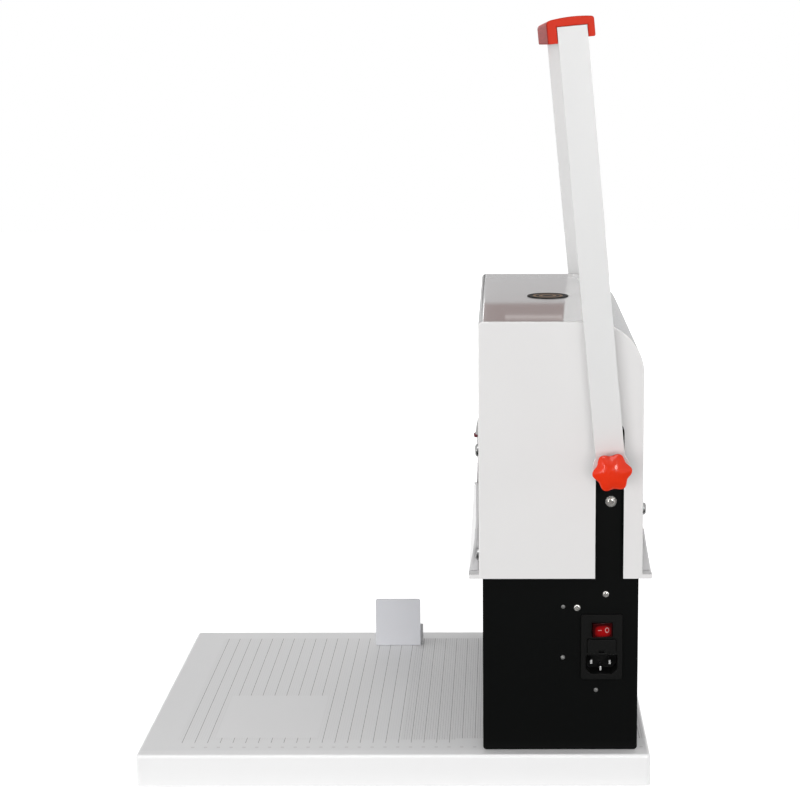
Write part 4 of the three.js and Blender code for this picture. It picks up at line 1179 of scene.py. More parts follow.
# Darker metal standing in for light: the dark reflections of the cover's screws and the shaded
# sides of the inlet's blades.
SHADE_DARKENED_METAL = GroundMetal(
    "zinc_cover_screw", (0.36, 0.36, 0.36), 0.28, tone_depth=0.15, tone_scale=300
)
DULL_RIVET = GroundMetal(
    "dull_rivet", (0.22, 0.22, 0.215), 0.42, metallic=0.4, tone_depth=0.2, tone_scale=300
)
DRILL_STEEL = GroundMetal(
    "blued_drill_steel", (0.4, 0.41, 0.43), 0.2, tone_depth=0.16, tone_scale=60
)
SPRING_STEEL = GroundMetal("spring_wire", (0.26, 0.27, 0.28), 0.35, tone_depth=0.15)
ALUMINIUM = GroundMetal(
    "machined_aluminium", (0.55, 0.56, 0.57), 0.36, tone_depth=0.08, stretch=(5000.0, 140.0, 140.0),
)
BRONZE = GroundMetal("oiled_bronze", (0.48, 0.25, 0.07), 0.34, tone_depth=0.2)
NICKEL = GroundMetal("nickel_pin", (0.72, 0.72, 0.71), 0.25, metallic=0.35, tone_depth=0.05)
NYLON = Finish("turned_nylon", (0.86, 0.84, 0.77), 0.5, tone_depth=0.08, grain_scale=700)
MAGNET = Finish("coated_magnet", (0.42, 0.42, 0.43), 0.4, tone_depth=0.15, rub=0.3)
BOARD = Finish("lacquered_board", (0.014, 0.14, 0.042), 0.45, tone_depth=0.2, tone_scale=90)
BADGE_LACQUER = RingedBadge(
    "ringed_badge", (0.005, 0.004, 0.003), 0.5, specular=0.1, centre=(*BADGE, 0.0),
)


@dataclass
class Platform:
    """Folded steel tray with its printed top, rubber feet and cutting pads."""

    half_width: float = 165.0
    half_length: float = 200.0
    bottom: float = 1.0
    top: float = 26.0
    sheet: float = 2.0
    corner: float = 3.5
    fold: float = 3.0
    pad_y: float = DRILL_Y
    pad_pitch: float = DRILL_PITCH
    pad_radius: float = 13.0
    well_radius: float = 13.3
    well_floor: float = 19.4
    cup_wall: float = 2.0
    foot_x: float = 145.0
    foot_y: float = 180.0

    def build(self) -> None:
        """Models and dresses the platform."""
        self.tray()
        self.pads()
        self.feet()

    def tray(self) -> None:
        """The tray: a block with rounded corners and fold, hollow below, with three wells."""
        low = (-self.half_width, -self.half_length, self.bottom)
        piece = Workpiece.block("platform_top", low, (self.half_width, self.half_length, self.top))
        piece.round_edges(runs(Axis.Z), self.corner, 10)
        piece.round_edges(lambda at, along: near(at.z, self.top) and near(along.z, 0), self.fold, 5)
        piece.remove_faces(faces_down).thicken(self.sheet)
        for step in (-1, 0, 1):
            x = step * self.pad_pitch
            outer = self.well_radius + self.cup_wall
            cup = [(outer, self.well_floor - self.cup_wall), (outer, self.top - self.sheet / 2)]
            well = [(self.well_radius, self.well_floor), (self.well_radius, self.top + CLEAR)]
            piece.join(Workpiece.turned("cup", cup, (x, self.pad_y, 0), sides=40))
            piece.cut(Workpiece.turned("well", well, (x, self.pad_y, 0), sides=40))
        piece.smooth().paint(DECK_PAINT).hang(Body.FRAME, "deck_paint", "platform_tray")

    def pads(self) -> None:
        """Three turned nylon pads with a broken rim."""
        for word, step in (("left", -1), ("middle", 0), ("right", 1)):
            low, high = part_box(f"cutting_pad_{word}")
            r, z0, z1 = self.pad_radius, low.z / MM, high.z / MM
            profile = [(r - 0.5, z0), (r, z0 + 0.5), (r, z1 - 0.6), (r - 0.6, z1), (5, z1)]
            place = (step * self.pad_pitch, self.pad_y, 0)
            pad = Workpiece.turned(f"nylon_pad_{word}", profile, place)
            pad.smooth().paint(NYLON).hang(Body.FRAME, "nylon", f"cutting_pad_{word}")

    def feet(self) -> None:
        """Four turned rubber feet with a hollow sole."""
        top = self.top - self.sheet - 0.3
        profile = [(4, 1.2), (6, 1.0), (6.5, 0.0), (7.8, 0.0), (8.7, 0.5), (9.0, 1.4), (9.0, top)]
        for end, y in (("front", -self.foot_y), ("rear", self.foot_y)):
            for side in Side:
                name, place = f"{end}_{side.word}", (side.value * self.foot_x, y, 0)
                foot = Workpiece.turned(f"rubber_foot_{name}", profile, place)
                foot.smooth().paint(RUBBER).hang(Body.FRAME, "rubber", f"foot_{name}")


@dataclass
class Housing:
    """Black sheet housing, paper throat, guide columns and their springs."""

    plate_x: float = PLATE_X
    front: float = 70.0
    rear: float = 190.0
    foot: float = 26.3
    foot_corner: float = 2.6
    column_x: float = 98.0
    column_y: float = 149.7
    column_radius: float = 8.0
    stroke: float = 55.0

    def build(self) -> None:
        """Models and dresses the housing."""
        for side in Side:
            node = f"side_plate_{side.word}"
            plate = Workpiece.copy_of_node(node, f"black_{node}")
            self.round_feet(plate)
            plate.soften(0.5).smooth().paint(BLACK_PAINT).hang(Body.FRAME, "black_paint", node)
        for node in ("back_plate", "throat_panel"):
            dress_copy(node, f"black_{node}", BLACK_PAINT, Body.FRAME, "black_paint", 0.5)
        dress_copy("back_fence", "ground_fence", ALUMINIUM, Body.FRAME, "aluminium", 0.4)
        dress_copy("head_beam", "folded_head_beam", STEEL, Body.FRAME, "steel", 0.4)
        for side in Side:
            self.column(side)
            self.spring(side)

    def round_feet(self, piece: Workpiece) -> None:
        """Rounds the two lower corners of a side plate."""
        r, span = self.foot_corner, self.plate_x + CLEAR
        for edge, way in ((self.front, 1), (self.rear, -1)):
            middle = (edge + way * r, self.foot + r)
            curve = arc(middle, r, 270, 180 if way > 0 else 360, 8)
            far = (edge - way * CLEAR, self.foot - CLEAR)
            outline = [far, (middle[0], far[1])] + curve + [(far[0], middle[1])]
            piece.cut(Workpiece.prism("corner", outline, -span, span))

    def column(self, side: Side) -> None:
        """A ground column on its round foot."""
        node = f"guide_column_{side.word}"
        low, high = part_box(node)
        z0, z1, r = low.z / MM, high.z / MM, self.column_radius
        profile = [(10.8, z0), (11.2, z0 + 0.4), (11.2, z0 + 5.6), (10.8, z0 + 6.0)]
        profile += [(r, z0 + 6.0), (r, z1 - 1), (r - 1, z1)]
        place = (side.value * self.column_x, self.column_y, 0)
        piece = Workpiece.turned(f"ground_column_{side.word}", profile, place)
        piece.smooth().paint(STEEL).hang(Body.FRAME, "steel", node)

    def spring(self, side: Side) -> None:
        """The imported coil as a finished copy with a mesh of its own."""
        node = f"return_spring_{side.word}"
        coil = dress_copy(
            node, f"return_coil_{side.word}", SPRING_STEEL, Body.FRAME, "spring_steel", angle=50
        )
        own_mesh(coil.obj)


@dataclass
class Cover:
    """White lift-off cover with its rim, curved guards, badge and start button."""

    half_width: float = 158.5
    front: float = COVER_Y[0]
    rear: float = COVER_Y[1]
    bottom: float = 165.2
    top: float = 364.0
    sheet: float = 1.5
    front_round: float = 4.0
    rear_round: float = 41.0
    side_round: float = 1.1
    slot_middle: float = PIVOT[0]
    slot_width: float = 21.6
    slot_top: float = 289.6
    rim_front: float = 59.4
    rim_rear: float = 199.9
    rim_top: float = 168.6
    rim_gap: float = 0.1
    guard_gap: float = 0.3
    web_gap: float = 0.35
    guard_half: float = 147.2
    guard_top: float = 238.7
    guard_sheet: float = 1.8
    guard_bend: float = 22.0
    guard_roll: float = 1.1
    rear_guard_top: float = 200.2
    rear_guard_sheet: float = 1.5
    rear_bow: float = 0.44
    web_x: float = 144.5
    web_sheet: float = 1.5
    badge_at: Pair = BADGE
    badge_radius: float = 17.0
    badge_height: float = 0.7
    button_x: float = 110.0
    button_z: float = 268.2
    button_hole: float = 5.8
    button_proud: float = 4.1

    def build(self) -> None:
        """Models and dresses the cover."""
        self.shell()
        self.front_guard()
        self.rear_guard()
        self.badge()
        self.button_block()
        self.button()

    def shell(self) -> None:
        """The folded shell with its slots and the lips under its guards."""
        low = (-self.half_width, self.front, self.bottom)
        piece = Workpiece.block("cover_sheet", low, (self.half_width, self.rear, self.top))
        for y, radius, segments in (
            (self.front, self.front_round, 8), (self.rear, self.rear_round, 28),
        ):
            piece.round_edges(
                lambda at, along, y=y: near(at.z, self.top) and near(at.y, y), radius, segments
            )
        piece.round_edges(
            lambda at, along: near(abs(at.x), self.half_width) and at.z > self.bottom + 1,
            self.side_round,
        )
        piece.remove_faces(faces_down).thicken(self.sheet)
        inside = self.sheet / 2
        piece.join(self.lip("front", self.rim_front, self.front + inside))
        piece.join(self.lip("rear", self.rear - inside, self.rim_rear))
        hole = [(self.button_hole, self.front - CLEAR), (self.button_hole, self.front + CLEAR)]
        place = (self.button_x, 0, self.button_z)
        piece.cut(self.slot(), Workpiece.turned("button_hole", hole, place, Axis.Y, 32))
        piece.smooth(25).paint(WHITE_PAINT, GUARD_PAINT)
        piece.paint_faces(1, lambda at, normal: normal.z > STRAIGHT and at.z < self.rim_top + 2)
        piece.hang(Body.FRAME, "white_paint", "cover_shell")

    def slot(self) -> Workpiece:
        """A cutter for the slots that let the cover pass over the shaft, with a round top."""
        half, foot = self.slot_width / 2, self.bottom - CLEAR
        outline = [(self.slot_middle - half, foot), (self.slot_middle + half, foot)]
        outline += arc((self.slot_middle, self.slot_top - half), half, 0, 180, 20)
        span = self.half_width + CLEAR
        return Workpiece.prism("slot", outline, -span, span)

    def lip(self, word: str, near_end: float, far_end: float) -> Workpiece:
        """A flange that reaches out under a guard."""
        half = self.half_width - 0.05
        low = (-half, near_end, self.bottom + 0.02)
        lip = Workpiece.block(f"{word}_lip", low, (half, far_end, self.rim_top - self.rim_gap))
        reach = near_end if word == "front" else far_end
        return lip.round_edges(lambda at, along: abs(along.z) > STRAIGHT and near(at.y, reach), 1.0)

    def front_guard(self) -> None:
        """Sheet that runs down the front face, then bows out to the rim, with a rolled top edge."""
        foot = self.rim_top + self.rim_gap
        proud = self.front - self.guard_gap - self.guard_sheet
        top, bend, roll = self.guard_top, self.guard_top - self.guard_bend, proud - self.guard_roll
        path = bow((self.rim_front, foot), (proud, (foot + bend) / 2), (proud, bend), 20)
        path += [(proud, top - 3.2)]
        path += bow((proud, top - 3), (proud, top - 2), (roll, top - 1.4), 4) + [(roll, top)]
        inner = [(y + self.guard_sheet / 2, z) for y, z in path if z <= bend]
        back = self.front - self.web_gap
        web = [(back, foot)] + inner + [(back, bend)]
        self.guard("front_guard", path, self.guard_sheet, web)

    def rear_guard(self) -> None:
        """Shorter sheet that bows out over the rear of the rim."""
        foot, top = self.rim_top + self.rim_gap, self.rear_guard_top
        proud = self.rear + self.guard_gap + self.rear_guard_sheet
        bend = proud + (self.rim_rear - proud) * self.rear_bow
        path = bow((self.rim_rear, foot), (bend, (foot + top) / 2), (proud, top), 16)[::-1]
        inner = [(y - self.rear_guard_sheet / 2, z) for y, z in path]
        back = self.rear + self.web_gap
        web = inner + [(back, foot), (back, top)]
        self.guard("rear_guard", path, self.rear_guard_sheet, web)

    def guard(self, node: str, path: Sequence[Pair], sheet: float, web: Sequence[Pair]) -> None:
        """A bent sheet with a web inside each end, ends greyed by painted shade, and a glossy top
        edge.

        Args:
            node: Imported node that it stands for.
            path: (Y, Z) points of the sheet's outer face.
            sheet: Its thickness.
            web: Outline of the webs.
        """
        piece = Workpiece.strip(f"{node}_sheet", path, -self.guard_half, self.guard_half, sheet)
        for side in Side:
            ends = side.reach(self.web_x, self.web_x + self.web_sheet)
            piece.join(Workpiece.prism("web", web, *ends))
        piece.smooth(40).paint(GUARD_PAINT, SHADED_WEB_PAINT, WHITE_PAINT)
        # Painted shade: the webs and end faces take the grey copy of the guard's white paint.
        piece.paint_faces(1, runs(Axis.X)).paint_faces(2, lambda at, normal: normal.z > 0.8)
        piece.hang(Body.FRAME, "white_paint", node)

    def badge(self) -> None:
        """A plain lacquered disc with a raised rim."""
        r, z0 = self.badge_radius, self.top + 0.05
        z1 = z0 + self.badge_height
        profile = [(r, z0), (r, z1 - 0.3), (r - 0.3, z1), (r - 1.5, z1)]
        profile += [(r - 1.9, z1 - 0.25), (4, z1 - 0.25)]
        piece = Workpiece.turned("ringed_badge_disc", profile, (*self.badge_at, 0), sides=72)
        piece.smooth().paint(BADGE_LACQUER).hang(Body.FRAME, "badge", "badge_disc")

    def button_block(self) -> None:
        """Moulded block with a small hood over the start button."""
        face, x, z = self.front, self.button_x, self.button_z
        outline = [
            (face, z - 5), (face, z + 11.4), (face - 0.9, z + 11.4), (face - 2.6, z + 3.2),
            (face - 2.6, z + 2.4), (face - 0.9, z + 2.2), (face - 0.9, z - 5),
        ]
        piece = Workpiece.prism("hooded_button_block", outline, x - 10, x + 10)
        collar, bore = [(5.5, face - 0.5), (5.5, face + 5.7)], [(2.3, face - 8), (2.3, face + 12)]
        piece.join(Workpiece.turned("collar", collar, (x, 0, z), Axis.Y, 32))
        piece.cut(Workpiece.turned("bore", bore, (x, 0, z), Axis.Y, 32))
        piece.soften(0.3, 2, 40).smooth(35).paint(GREY_PLASTIC)
        piece.hang(Body.FRAME, "grey_plastic", "button_block")

    def button(self) -> None:
        """Domed button on its stem."""
        face, tip = self.front, self.front - self.button_proud
        profile = [
            (2.0, face + 4.9), (2.0, face + 2.3), (4.0, face + 2.3), (4.0, face + 0.8),
            (2.0, face + 0.8), (2.0, tip + 1.4), (1.85, tip + 0.8), (1.5, tip + 0.35),
            (0.9, tip + 0.08), (0.4, tip),
        ]
        place = (self.button_x, 0, self.button_z)
        piece = Workpiece.turned("start_button_cap", profile, place, Axis.Y, 32)
        piece.smooth(40).paint(DARK_RED_PLASTIC)
        piece.hang(Body.BUTTON, "dark_red_plastic", "start_button")


@dataclass
class MainsInlet:
    """Moulded inlet module with its socket, fuse drawer and rocker switch."""

    y: float = 161.8
    z: float = 109.8
    plate_x: float = PLATE_X
    face: float = 155.8
    flange: Pair = (31.9, 51.4)
    body: Pair = (27.4, 47.0)
    body_length: float = 30.0
    drawer_mouth: Pair = (22.6, 11.2)
    drawer_front: Pair = (22.0, 10.6)
    switch_mouth: Pair = (16.2, 11.4)
    bezel: Pair = (17.8, 13.0)
    blade: Pair = (1.7, 3.4)
    blade_raise: float = 0.7
    blade_depth: float = 4.6
    socket: Pair = (24.6, 15.2)
    socket_cut: float = 4.0
    socket_depth: float = 17.0
    drawer_depth: float = 20.3
    drawer_length: float = 20.0
    drawer_proud: float = 1.2
    switch_depth: float = 10.0
    socket_drop: float = 13.9
    rocker_at: Pair = ROCKER
    rocker_size: Pair = (15.0, 10.8)
    rocker_proud: float = 2.4
    fuse_raise: float = 1.0
    tilt: float = 8.0

    def build(self) -> None:
        """Models and dresses the inlet."""
        self.module()
        self.pins()
        self.drawer()
        self.rocker()

    def socket_outline(self) -> list[Pair]:
        """Outline of the socket's mouth with its two cut lower corners."""
        z, cut = self.z - self.socket_drop, self.socket_cut
        half, rise = (size / 2 for size in self.socket)
        left, right, low, high = self.y - half, self.y + half, z - rise, z + rise
        return [
            (left + cut, low), (right - cut, low), (right, low + cut), (right, high), (left, high),
            (left, low + cut),
        ]

    def module(self) -> None:
        """Flange and body with the socket, drawer and switch openings."""
        middle, out = (self.y, self.z), self.face + CLEAR
        flange = Workpiece.bar("inlet_moulding", self.plate_x + 0.3, self.face, middle, self.flange)
        flange.round_edges(runs(Axis.X), 1.8, 6)
        back = self.face - self.body_length
        flange.join(Workpiece.bar("body", back, self.plate_x + 1, middle, self.body))
        drawer, switch = (self.y, self.z + self.fuse_raise), self.rocker_at
        flange.cut(
            Workpiece.prism("socket", self.socket_outline(), self.face - self.socket_depth, out),
            Workpiece.bar(
                "drawer_opening", self.face - self.drawer_depth, out, drawer, self.drawer_mouth
            ),
            Workpiece.bar(
                "switch_opening", self.face - self.switch_depth, out, switch, self.switch_mouth
            ),
        )
        flange.soften(0.35, 3, 35)
        bezel = Workpiece.bar("bezel", self.face - 0.2, self.face + 0.6, switch, self.bezel)
        inside = self.face - CLEAR
        bezel.cut(Workpiece.bar("bezel_opening", inside, out, switch, self.switch_mouth))
        flange.add(bezel.soften(0.25)).smooth().paint(BLACK_PLASTIC)
        flange.hang(Body.FRAME, "black_plastic", "inlet_module")

    def pins(self) -> None:
        """Three blades in the socket, bright at their front faces, with painted shade on their
        sides.
        """
        z = self.z - self.socket_drop + self.blade_raise
        foot, tip = self.face - self.socket_depth, self.face - self.blade_depth
        blades = [
            Workpiece.bar(name, foot, tip, (self.y + dy, z + dz), self.blade).soften(0.4, 3)
            for name, dy, dz in (
                ("inlet_blades", -7.8, 0), ("rear_blade", 6.6, -0.3), ("low_blade", -0.6, -5.3),
            )
        ]
        # Painted shade on the blades' sides, with bright metal on their front faces.
        piece = blades[0].add(*blades[1:]).smooth(40).paint(SHADE_DARKENED_METAL, NICKEL)
        piece.paint_faces(1, lambda at, normal: normal.x > 0.3).hang(Body.FRAME)

    def drawer(self) -> None:
        """Fuse drawer with its finger notch."""
        z = self.z + self.fuse_raise
        back, front = self.face - self.drawer_length, self.face + self.drawer_proud
        piece = Workpiece.bar("fuse_tray", back, front, (self.y, z), self.drawer_front)
        low, high = (self.face - 1.2, self.y - 2, z - 9), (self.face + 6, self.y + 2, z - 3.3)
        piece.cut(Workpiece.block("notch", low, high)).soften(0.35, 3)
        piece.smooth().paint(BLACK_PLASTIC).hang(Body.FUSE, "black_plastic", "fuse_drawer")

    def rocker(self) -> None:
        """Rocker cap, a shallow V that rests with its rear end pressed in."""
        half, rise, proud = self.rocker_size[0] / 2, self.rocker_size[1] / 2, self.rocker_proud
        dip = math.tan(math.radians(self.tilt)) * half
        outline = [(-3.5, -half), (proud, -half)]
        outline += bow((proud, -half), (proud - dip * 1.15, 0), (proud, half), 10)[1:-1]
        outline += [(proud, half), (-3.5, half), (-7.0, 0)]
        place = (self.face, *self.rocker_at)
        placed = [(place[0] + u, place[1] + v) for u, v in outline]
        piece = Workpiece.prism("rocker_cap", placed, place[2] - rise, place[2] + rise, Axis.Z)
        piece.turn_about(place, Axis.Z, self.tilt).soften(0.3, 3, 40)
        piece.smooth(35).paint(ROCKER_PLASTIC).hang(Body.ROCKER, "red_plastic", "power_rocker")


@dataclass
class LeverLoop:
    """Two arms, their cross bar and grip, the shaft and the star knobs."""

    pivot: Pair = PIVOT
    lean: float = LEAN
    arm_inner: float = 170.0
    arm_outer: float = 175.0
    arm_half: float = 11.0
    eye: float = 14.0
    length: float = 328.0
    square: float = 12.6
    seat: float = 328.3
    seat_gap: float = 0.3
    grip_half: float = 175.5
    grip_cap: float = 5.5
    front_wall: float = 7.4
    rear_wall: float = 5.0
    front_lip: float = 12.0
    rear_lip: float = 9.0
    lobe: float = 15.0
    waist: float = 12.5
    taper: float = 0.86
    lobes: int = 6
    lobe_phase: float = 6.5
    rim_corners: int = 72
    knob_back: float = 180.3
    calm_from: float = 0.3
    calm_over: float = 0.62
    dome: Sequence[Pair] = (
        (0.93, 3.2), (0.985, 2.8), (1, 1.7), (0.99, 0.5), (0.96, 0.45), (0.9, 0.62), (0.8, 0.85),
        (0.68, 0.9), (0.55, 0.8), (0.42, 0.6), (0.28, 0.48), (0.12, 0.28),
    )

    def build(self) -> None:
        """Models and dresses the lever."""
        for side in Side:
            self.arm(side)
            self.knob(side)
        self.grip()
        dress_copy("lever_crossbar", "painted_cross_bar", ARM_PAINT, Body.LEVER, "white_paint", 0.5)
        dress_copy("lever_shaft", "turned_cross_shaft", STEEL, Body.LEVER, "steel", angle=35)

    def arm(self, side: Side) -> None:
        """Flat bar with a round eye and a square hole."""
        half = self.arm_half
        shoulder = math.degrees(math.asin(half / self.eye))
        eye = arc((0, 0), self.eye, 90 + shoulder, 360 + 90 - shoulder, 40)
        outline = [(-half, self.length)] + eye + [(half, self.length)]
        low, high = side.reach(self.arm_inner, self.arm_outer)
        piece = Workpiece.prism(f"lever_bar_{side.word}", self.placed(outline), low, high)
        square = (self.square, self.square)
        piece.cut(Workpiece.bar("hole", low - CLEAR, high + CLEAR, self.pivot, square))
        piece.soften(0.7, 3, 40).turn_about((0, *self.pivot), Axis.X, self.lean)
        piece.smooth().paint(ARM_PAINT).hang(Body.LEVER, "white_paint", f"lever_arm_{side.word}")

    def placed(self, section: Sequence[Pair]) -> list[Pair]:
        """Points counted from the pivot, at their place."""
        return [(self.pivot[0] + u, self.pivot[1] + v) for u, v in section]

    def grip(self) -> None:
        """Moulded grip, a crowned channel whose front lip hangs lower than its rear lip."""
        half, seat = self.arm_half + self.seat_gap, self.seat
        front, rear, edge = -half - self.front_wall, half + self.rear_wall, seat + self.grip_cap
        low, high = seat - self.front_lip, seat - self.rear_lip
        section = [(front + 1.2, low), (-half, low), (-half, seat), (half, seat), (half, high)]
        section += bow((rear - 1.4, high), (rear, high), (rear, high + 1.4), 4)
        section += bow((rear, edge - 2.2), (rear, edge), (rear - 2.4, edge + 0.2), 6)
        crown = bow((rear - 2.4, edge + 0.2), (0, edge + 1.9), (front + 4.5, edge - 0.2), 10)
        section += crown[1:-1]
        section += bow((front + 4.5, edge - 0.2), (front, edge - 0.6), (front, edge - 4.2), 7)
        section += bow((front, low + 1.6), (front, low), (front + 1.2, low), 4)[:-1]
        span = self.grip_half
        piece = Workpiece.prism("moulded_grip", self.placed(section), -span, span)
        piece.round_edges(lambda at, along: near(abs(at.x), span), 0.9)
        piece.turn_about((0, *self.pivot), Axis.X, self.lean)
        piece.smooth(40).paint(GRIP_PLASTIC).hang(Body.LEVER, "red_plastic", "lever_grip")

    def knob(self, side: Side) -> None:
        """Star knob: a six-lobed moulding with a domed face, on its hub and stud."""
        back, arm, place = self.knob_back, self.arm_outer, (0, *self.pivot)
        shape = Workpiece.prism(f"star_grip_{side.word}", self.rim(), back, back + 1.0)
        centre = [0.0, *(p * MM for p in self.pivot)]
        with shape.editing(Part.VERT):
            shape.select(Part.VERT, lambda at, normal: True)
            bpy.ops.transform.resize(value=(1, self.taper, self.taper), center_override=centre)
        stations = [(share / self.taper, step) for share, step in self.dome]
        with shape.editing(Part.FACE):
            shape.select(Part.FACE, lambda at, normal: normal.x > STRAIGHT)
            last = 1.0
            for share, step in stations:
                extrude(step, 0, 0)
                ratio = share / last
                bpy.ops.transform.resize(value=(1, ratio, ratio), center_override=centre)
                last = share
        self.calm_dome(shape, stations, back + 1.0)
        shape.round_edges(lambda at, along: near(at.x, back) and abs(along.x) < 0.1, 0.8, 3)
        hub = [(7.4, arm + 0.3), (8.0, arm + 0.9), (8.0, back + 2)]
        stud = [(3.4, arm - 14), (4.0, arm - 13.4), (4.0, back)]
        shape.add(
            Workpiece.turned("hub", hub, place, Axis.X),
            Workpiece.turned("stud", stud, place, Axis.X, 24),
        )
        if side is Side.LEFT:
            shape.transform(Matrix.Scale(-1, 4, (1, 0, 0)))
            shape.obj.data.flip_normals()
        shape.smooth(50).paint(RED_PLASTIC, STEEL)
        shape.paint_faces(1, lambda at, normal: abs(at.x) < arm + 0.4)
        shape.hang(Body[f"KNOB_{side.name}"], "red_plastic", f"star_knob_{side.word}")

    def rim(self) -> list[Pair]:
        """Outline of the knob, a wave round a circle."""
        mean, wave = (self.lobe + self.waist) / 2, (self.lobe - self.waist) / 2
        outline = []
        for i in range(self.rim_corners):
            degrees = FULL_TURN * i / self.rim_corners
            radius = mean + wave * math.cos(math.radians(self.lobes * (degrees - self.lobe_phase)))
            angle = math.radians(degrees)
            outline.append((radius * math.cos(angle), radius * math.sin(angle)))
        return self.placed(outline)

    def calm_dome(self, shape: Workpiece, stations: Sequence[Pair], start: float) -> None:
        """Lets the lobes fade out towards the middle of the dome.

        Args:
            shape: The knob's moulding.
            stations: Share of the outline and step along x of each ring.
            start: Place of the first ring along x, in millimetres.
        """
        mean, height = (self.lobe + self.waist) / 2, start
        middle = Vector((0, *self.pivot)) * MM
        for share, step in stations:
            height += step
            even = mean * share * self.taper
            keep = min(1.0, max(0.0, (share * self.taper - self.calm_from) / self.calm_over))
            for vertex in shape.obj.data.vertices:
                if near(vertex.co.x / MM, height, 0.1):
                    off = vertex.co - middle
                    radius = math.hypot(off.y, off.z) / MM
                    ratio = (even + (radius - even) * keep) / radius
                    vertex.co.yz = middle.yz + off.yz * ratio


@dataclass
class DrillHead:
    """Carriage, motor, spindles, chuck nuts and hollow drills."""

    drill_y: float = DRILL_Y
    pitch: float = DRILL_PITCH
    nut_bottom: float = 141.0
    nut_length: float = 20.0
    nut_radius: float = 12.0
    flat_from: float = 10.8
    tip: float = 81.0
    shank_length: float = 40.0

    def build(self) -> None:
        """Models and dresses the drilling head."""
        for step, name in enumerate(("left", "middle", "right"), -1):
            body = Body[f"DRILL_{name.upper()}"]
            self.drill(name, step * self.pitch, body)
            self.nut(name, step * self.pitch, body)
            dress_copy(f"spindle_{name}", f"turned_spindle_{name}", STEEL, body, "steel")
        for node, name, finish, slot, width in (
            ("drill_carriage", "carriage_casting", ALUMINIUM, "aluminium", 0.6),
            ("carriage_lid", "carriage_lid_plate", ALUMINIUM, "aluminium", 0.5),
            ("drill_motor", "motor_can", STEEL, "steel", 0.6),
        ):
            dress_copy(node, name, finish, Body.CARRIAGE, slot, width)

    def drill(self, name: str, x: float, body: Body) -> None:
        """Hollow drill: a sharpened tube below a thicker shank."""
        shank = self.nut_bottom + 0.3
        top = shank + self.shank_length
        profile = [
            (2.4, self.tip), (3.0, self.tip + 2), (3.0, shank - 3), (3.6, shank - 1.6),
            (5.0, shank), (5.0, top), (2.1, top), (2.1, self.tip + 0.4), (2.35, self.tip),
        ]
        piece = Workpiece.turned(f"hollow_drill_{name}", profile, (x, self.drill_y, 0), sides=32)
        piece.remove_faces(lambda at, normal: near(at.z, self.tip, 0.01) and abs(normal.z) > 0.99)
        piece.close().smooth().paint(DRILL_STEEL).hang(body, "steel", f"drill_bit_{name}")

    def nut(self, name: str, x: float, body: Body) -> None:
        """Chuck nut with a cone nose and two spanner flats."""
        z0, length, r = self.nut_bottom, self.nut_length, self.nut_radius
        profile = [
            (8.2, z0), (8.6, z0 + 0.4), (r, z0 + length / 3), (r, z0 + 8), (r - 0.5, z0 + 8.4),
            (r - 0.5, z0 + 9.2), (r, z0 + 9.6), (r, z0 + length - 0.6), (r - 0.6, z0 + length),
            (5.3, z0 + length), (5.3, z0 - 0.01),
        ]
        piece = Workpiece.turned(f"knurled_nut_{name}", profile, (x, self.drill_y, 0))
        piece.remove_faces(lambda at, normal: near(at.z, z0 - 0.01, 0.005) and abs(normal.z) > 0.99)
        for side in (-1, 1):
            middle = (self.drill_y + side * (self.flat_from + 1.8), z0 + 14.25)
            piece.cut(Workpiece.bar("flat", x - 14, x + 14, middle, (3.6, 6.5)))
        piece.smooth().paint(STEEL).hang(body, "steel", f"chuck_nut_{name}")


@dataclass
class SideStop:
    """Painted angle plate on its magnet."""

    plate_x: float = -121.5
    sheet: float = 1.5
    low_y: float = -30.6
    high_y: float = 10.2
    bottom: float = 26.3
    top: float = 69.9
    foot: float = 22.0
    corner: float = 2.0

    def build(self) -> None:
        """Models and dresses the stop."""
        low = (self.plate_x - self.sheet, self.low_y, self.bottom)
        upright = Workpiece.block("stop_angle", low, (self.plate_x, self.high_y, self.top))
        upright.round_edges(
            lambda at, along: abs(along.x) > STRAIGHT and at.z > self.top - 1, self.corner, 6
        )
        foot = Workpiece.block(
            "foot", (self.plate_x - self.foot, self.low_y, self.bottom),
            (self.plate_x - self.sheet / 2, self.high_y, self.bottom + self.sheet),
        )
        upright.join(foot).soften(0.35, 3).smooth().paint(STOP_PAINT)
        upright.hang(Body.SIDE_STOP, "grey_paint", "side_stop_plate")
        dress_copy("side_stop_magnet", "coated_stop_magnet", MAGNET, Body.SIDE_STOP, "magnet", 0.5)


@dataclass(frozen=True)
class ScrewPlace:
    """Where a screw or rivet sits and how it looks.

    Attributes:
        name: Piece name.
        at: Foot of its head.
        facing: Direction that it faces.
        diameter: Head diameter.
        height: Head height.
        finish: Its metal.
        turn: How its cross is turned, in degrees.
    """

    name: str
    at: Point
    facing: Point
    diameter: float
    height: float
    finish: Finish = PLATED_STEEL
    turn: float = 0.0


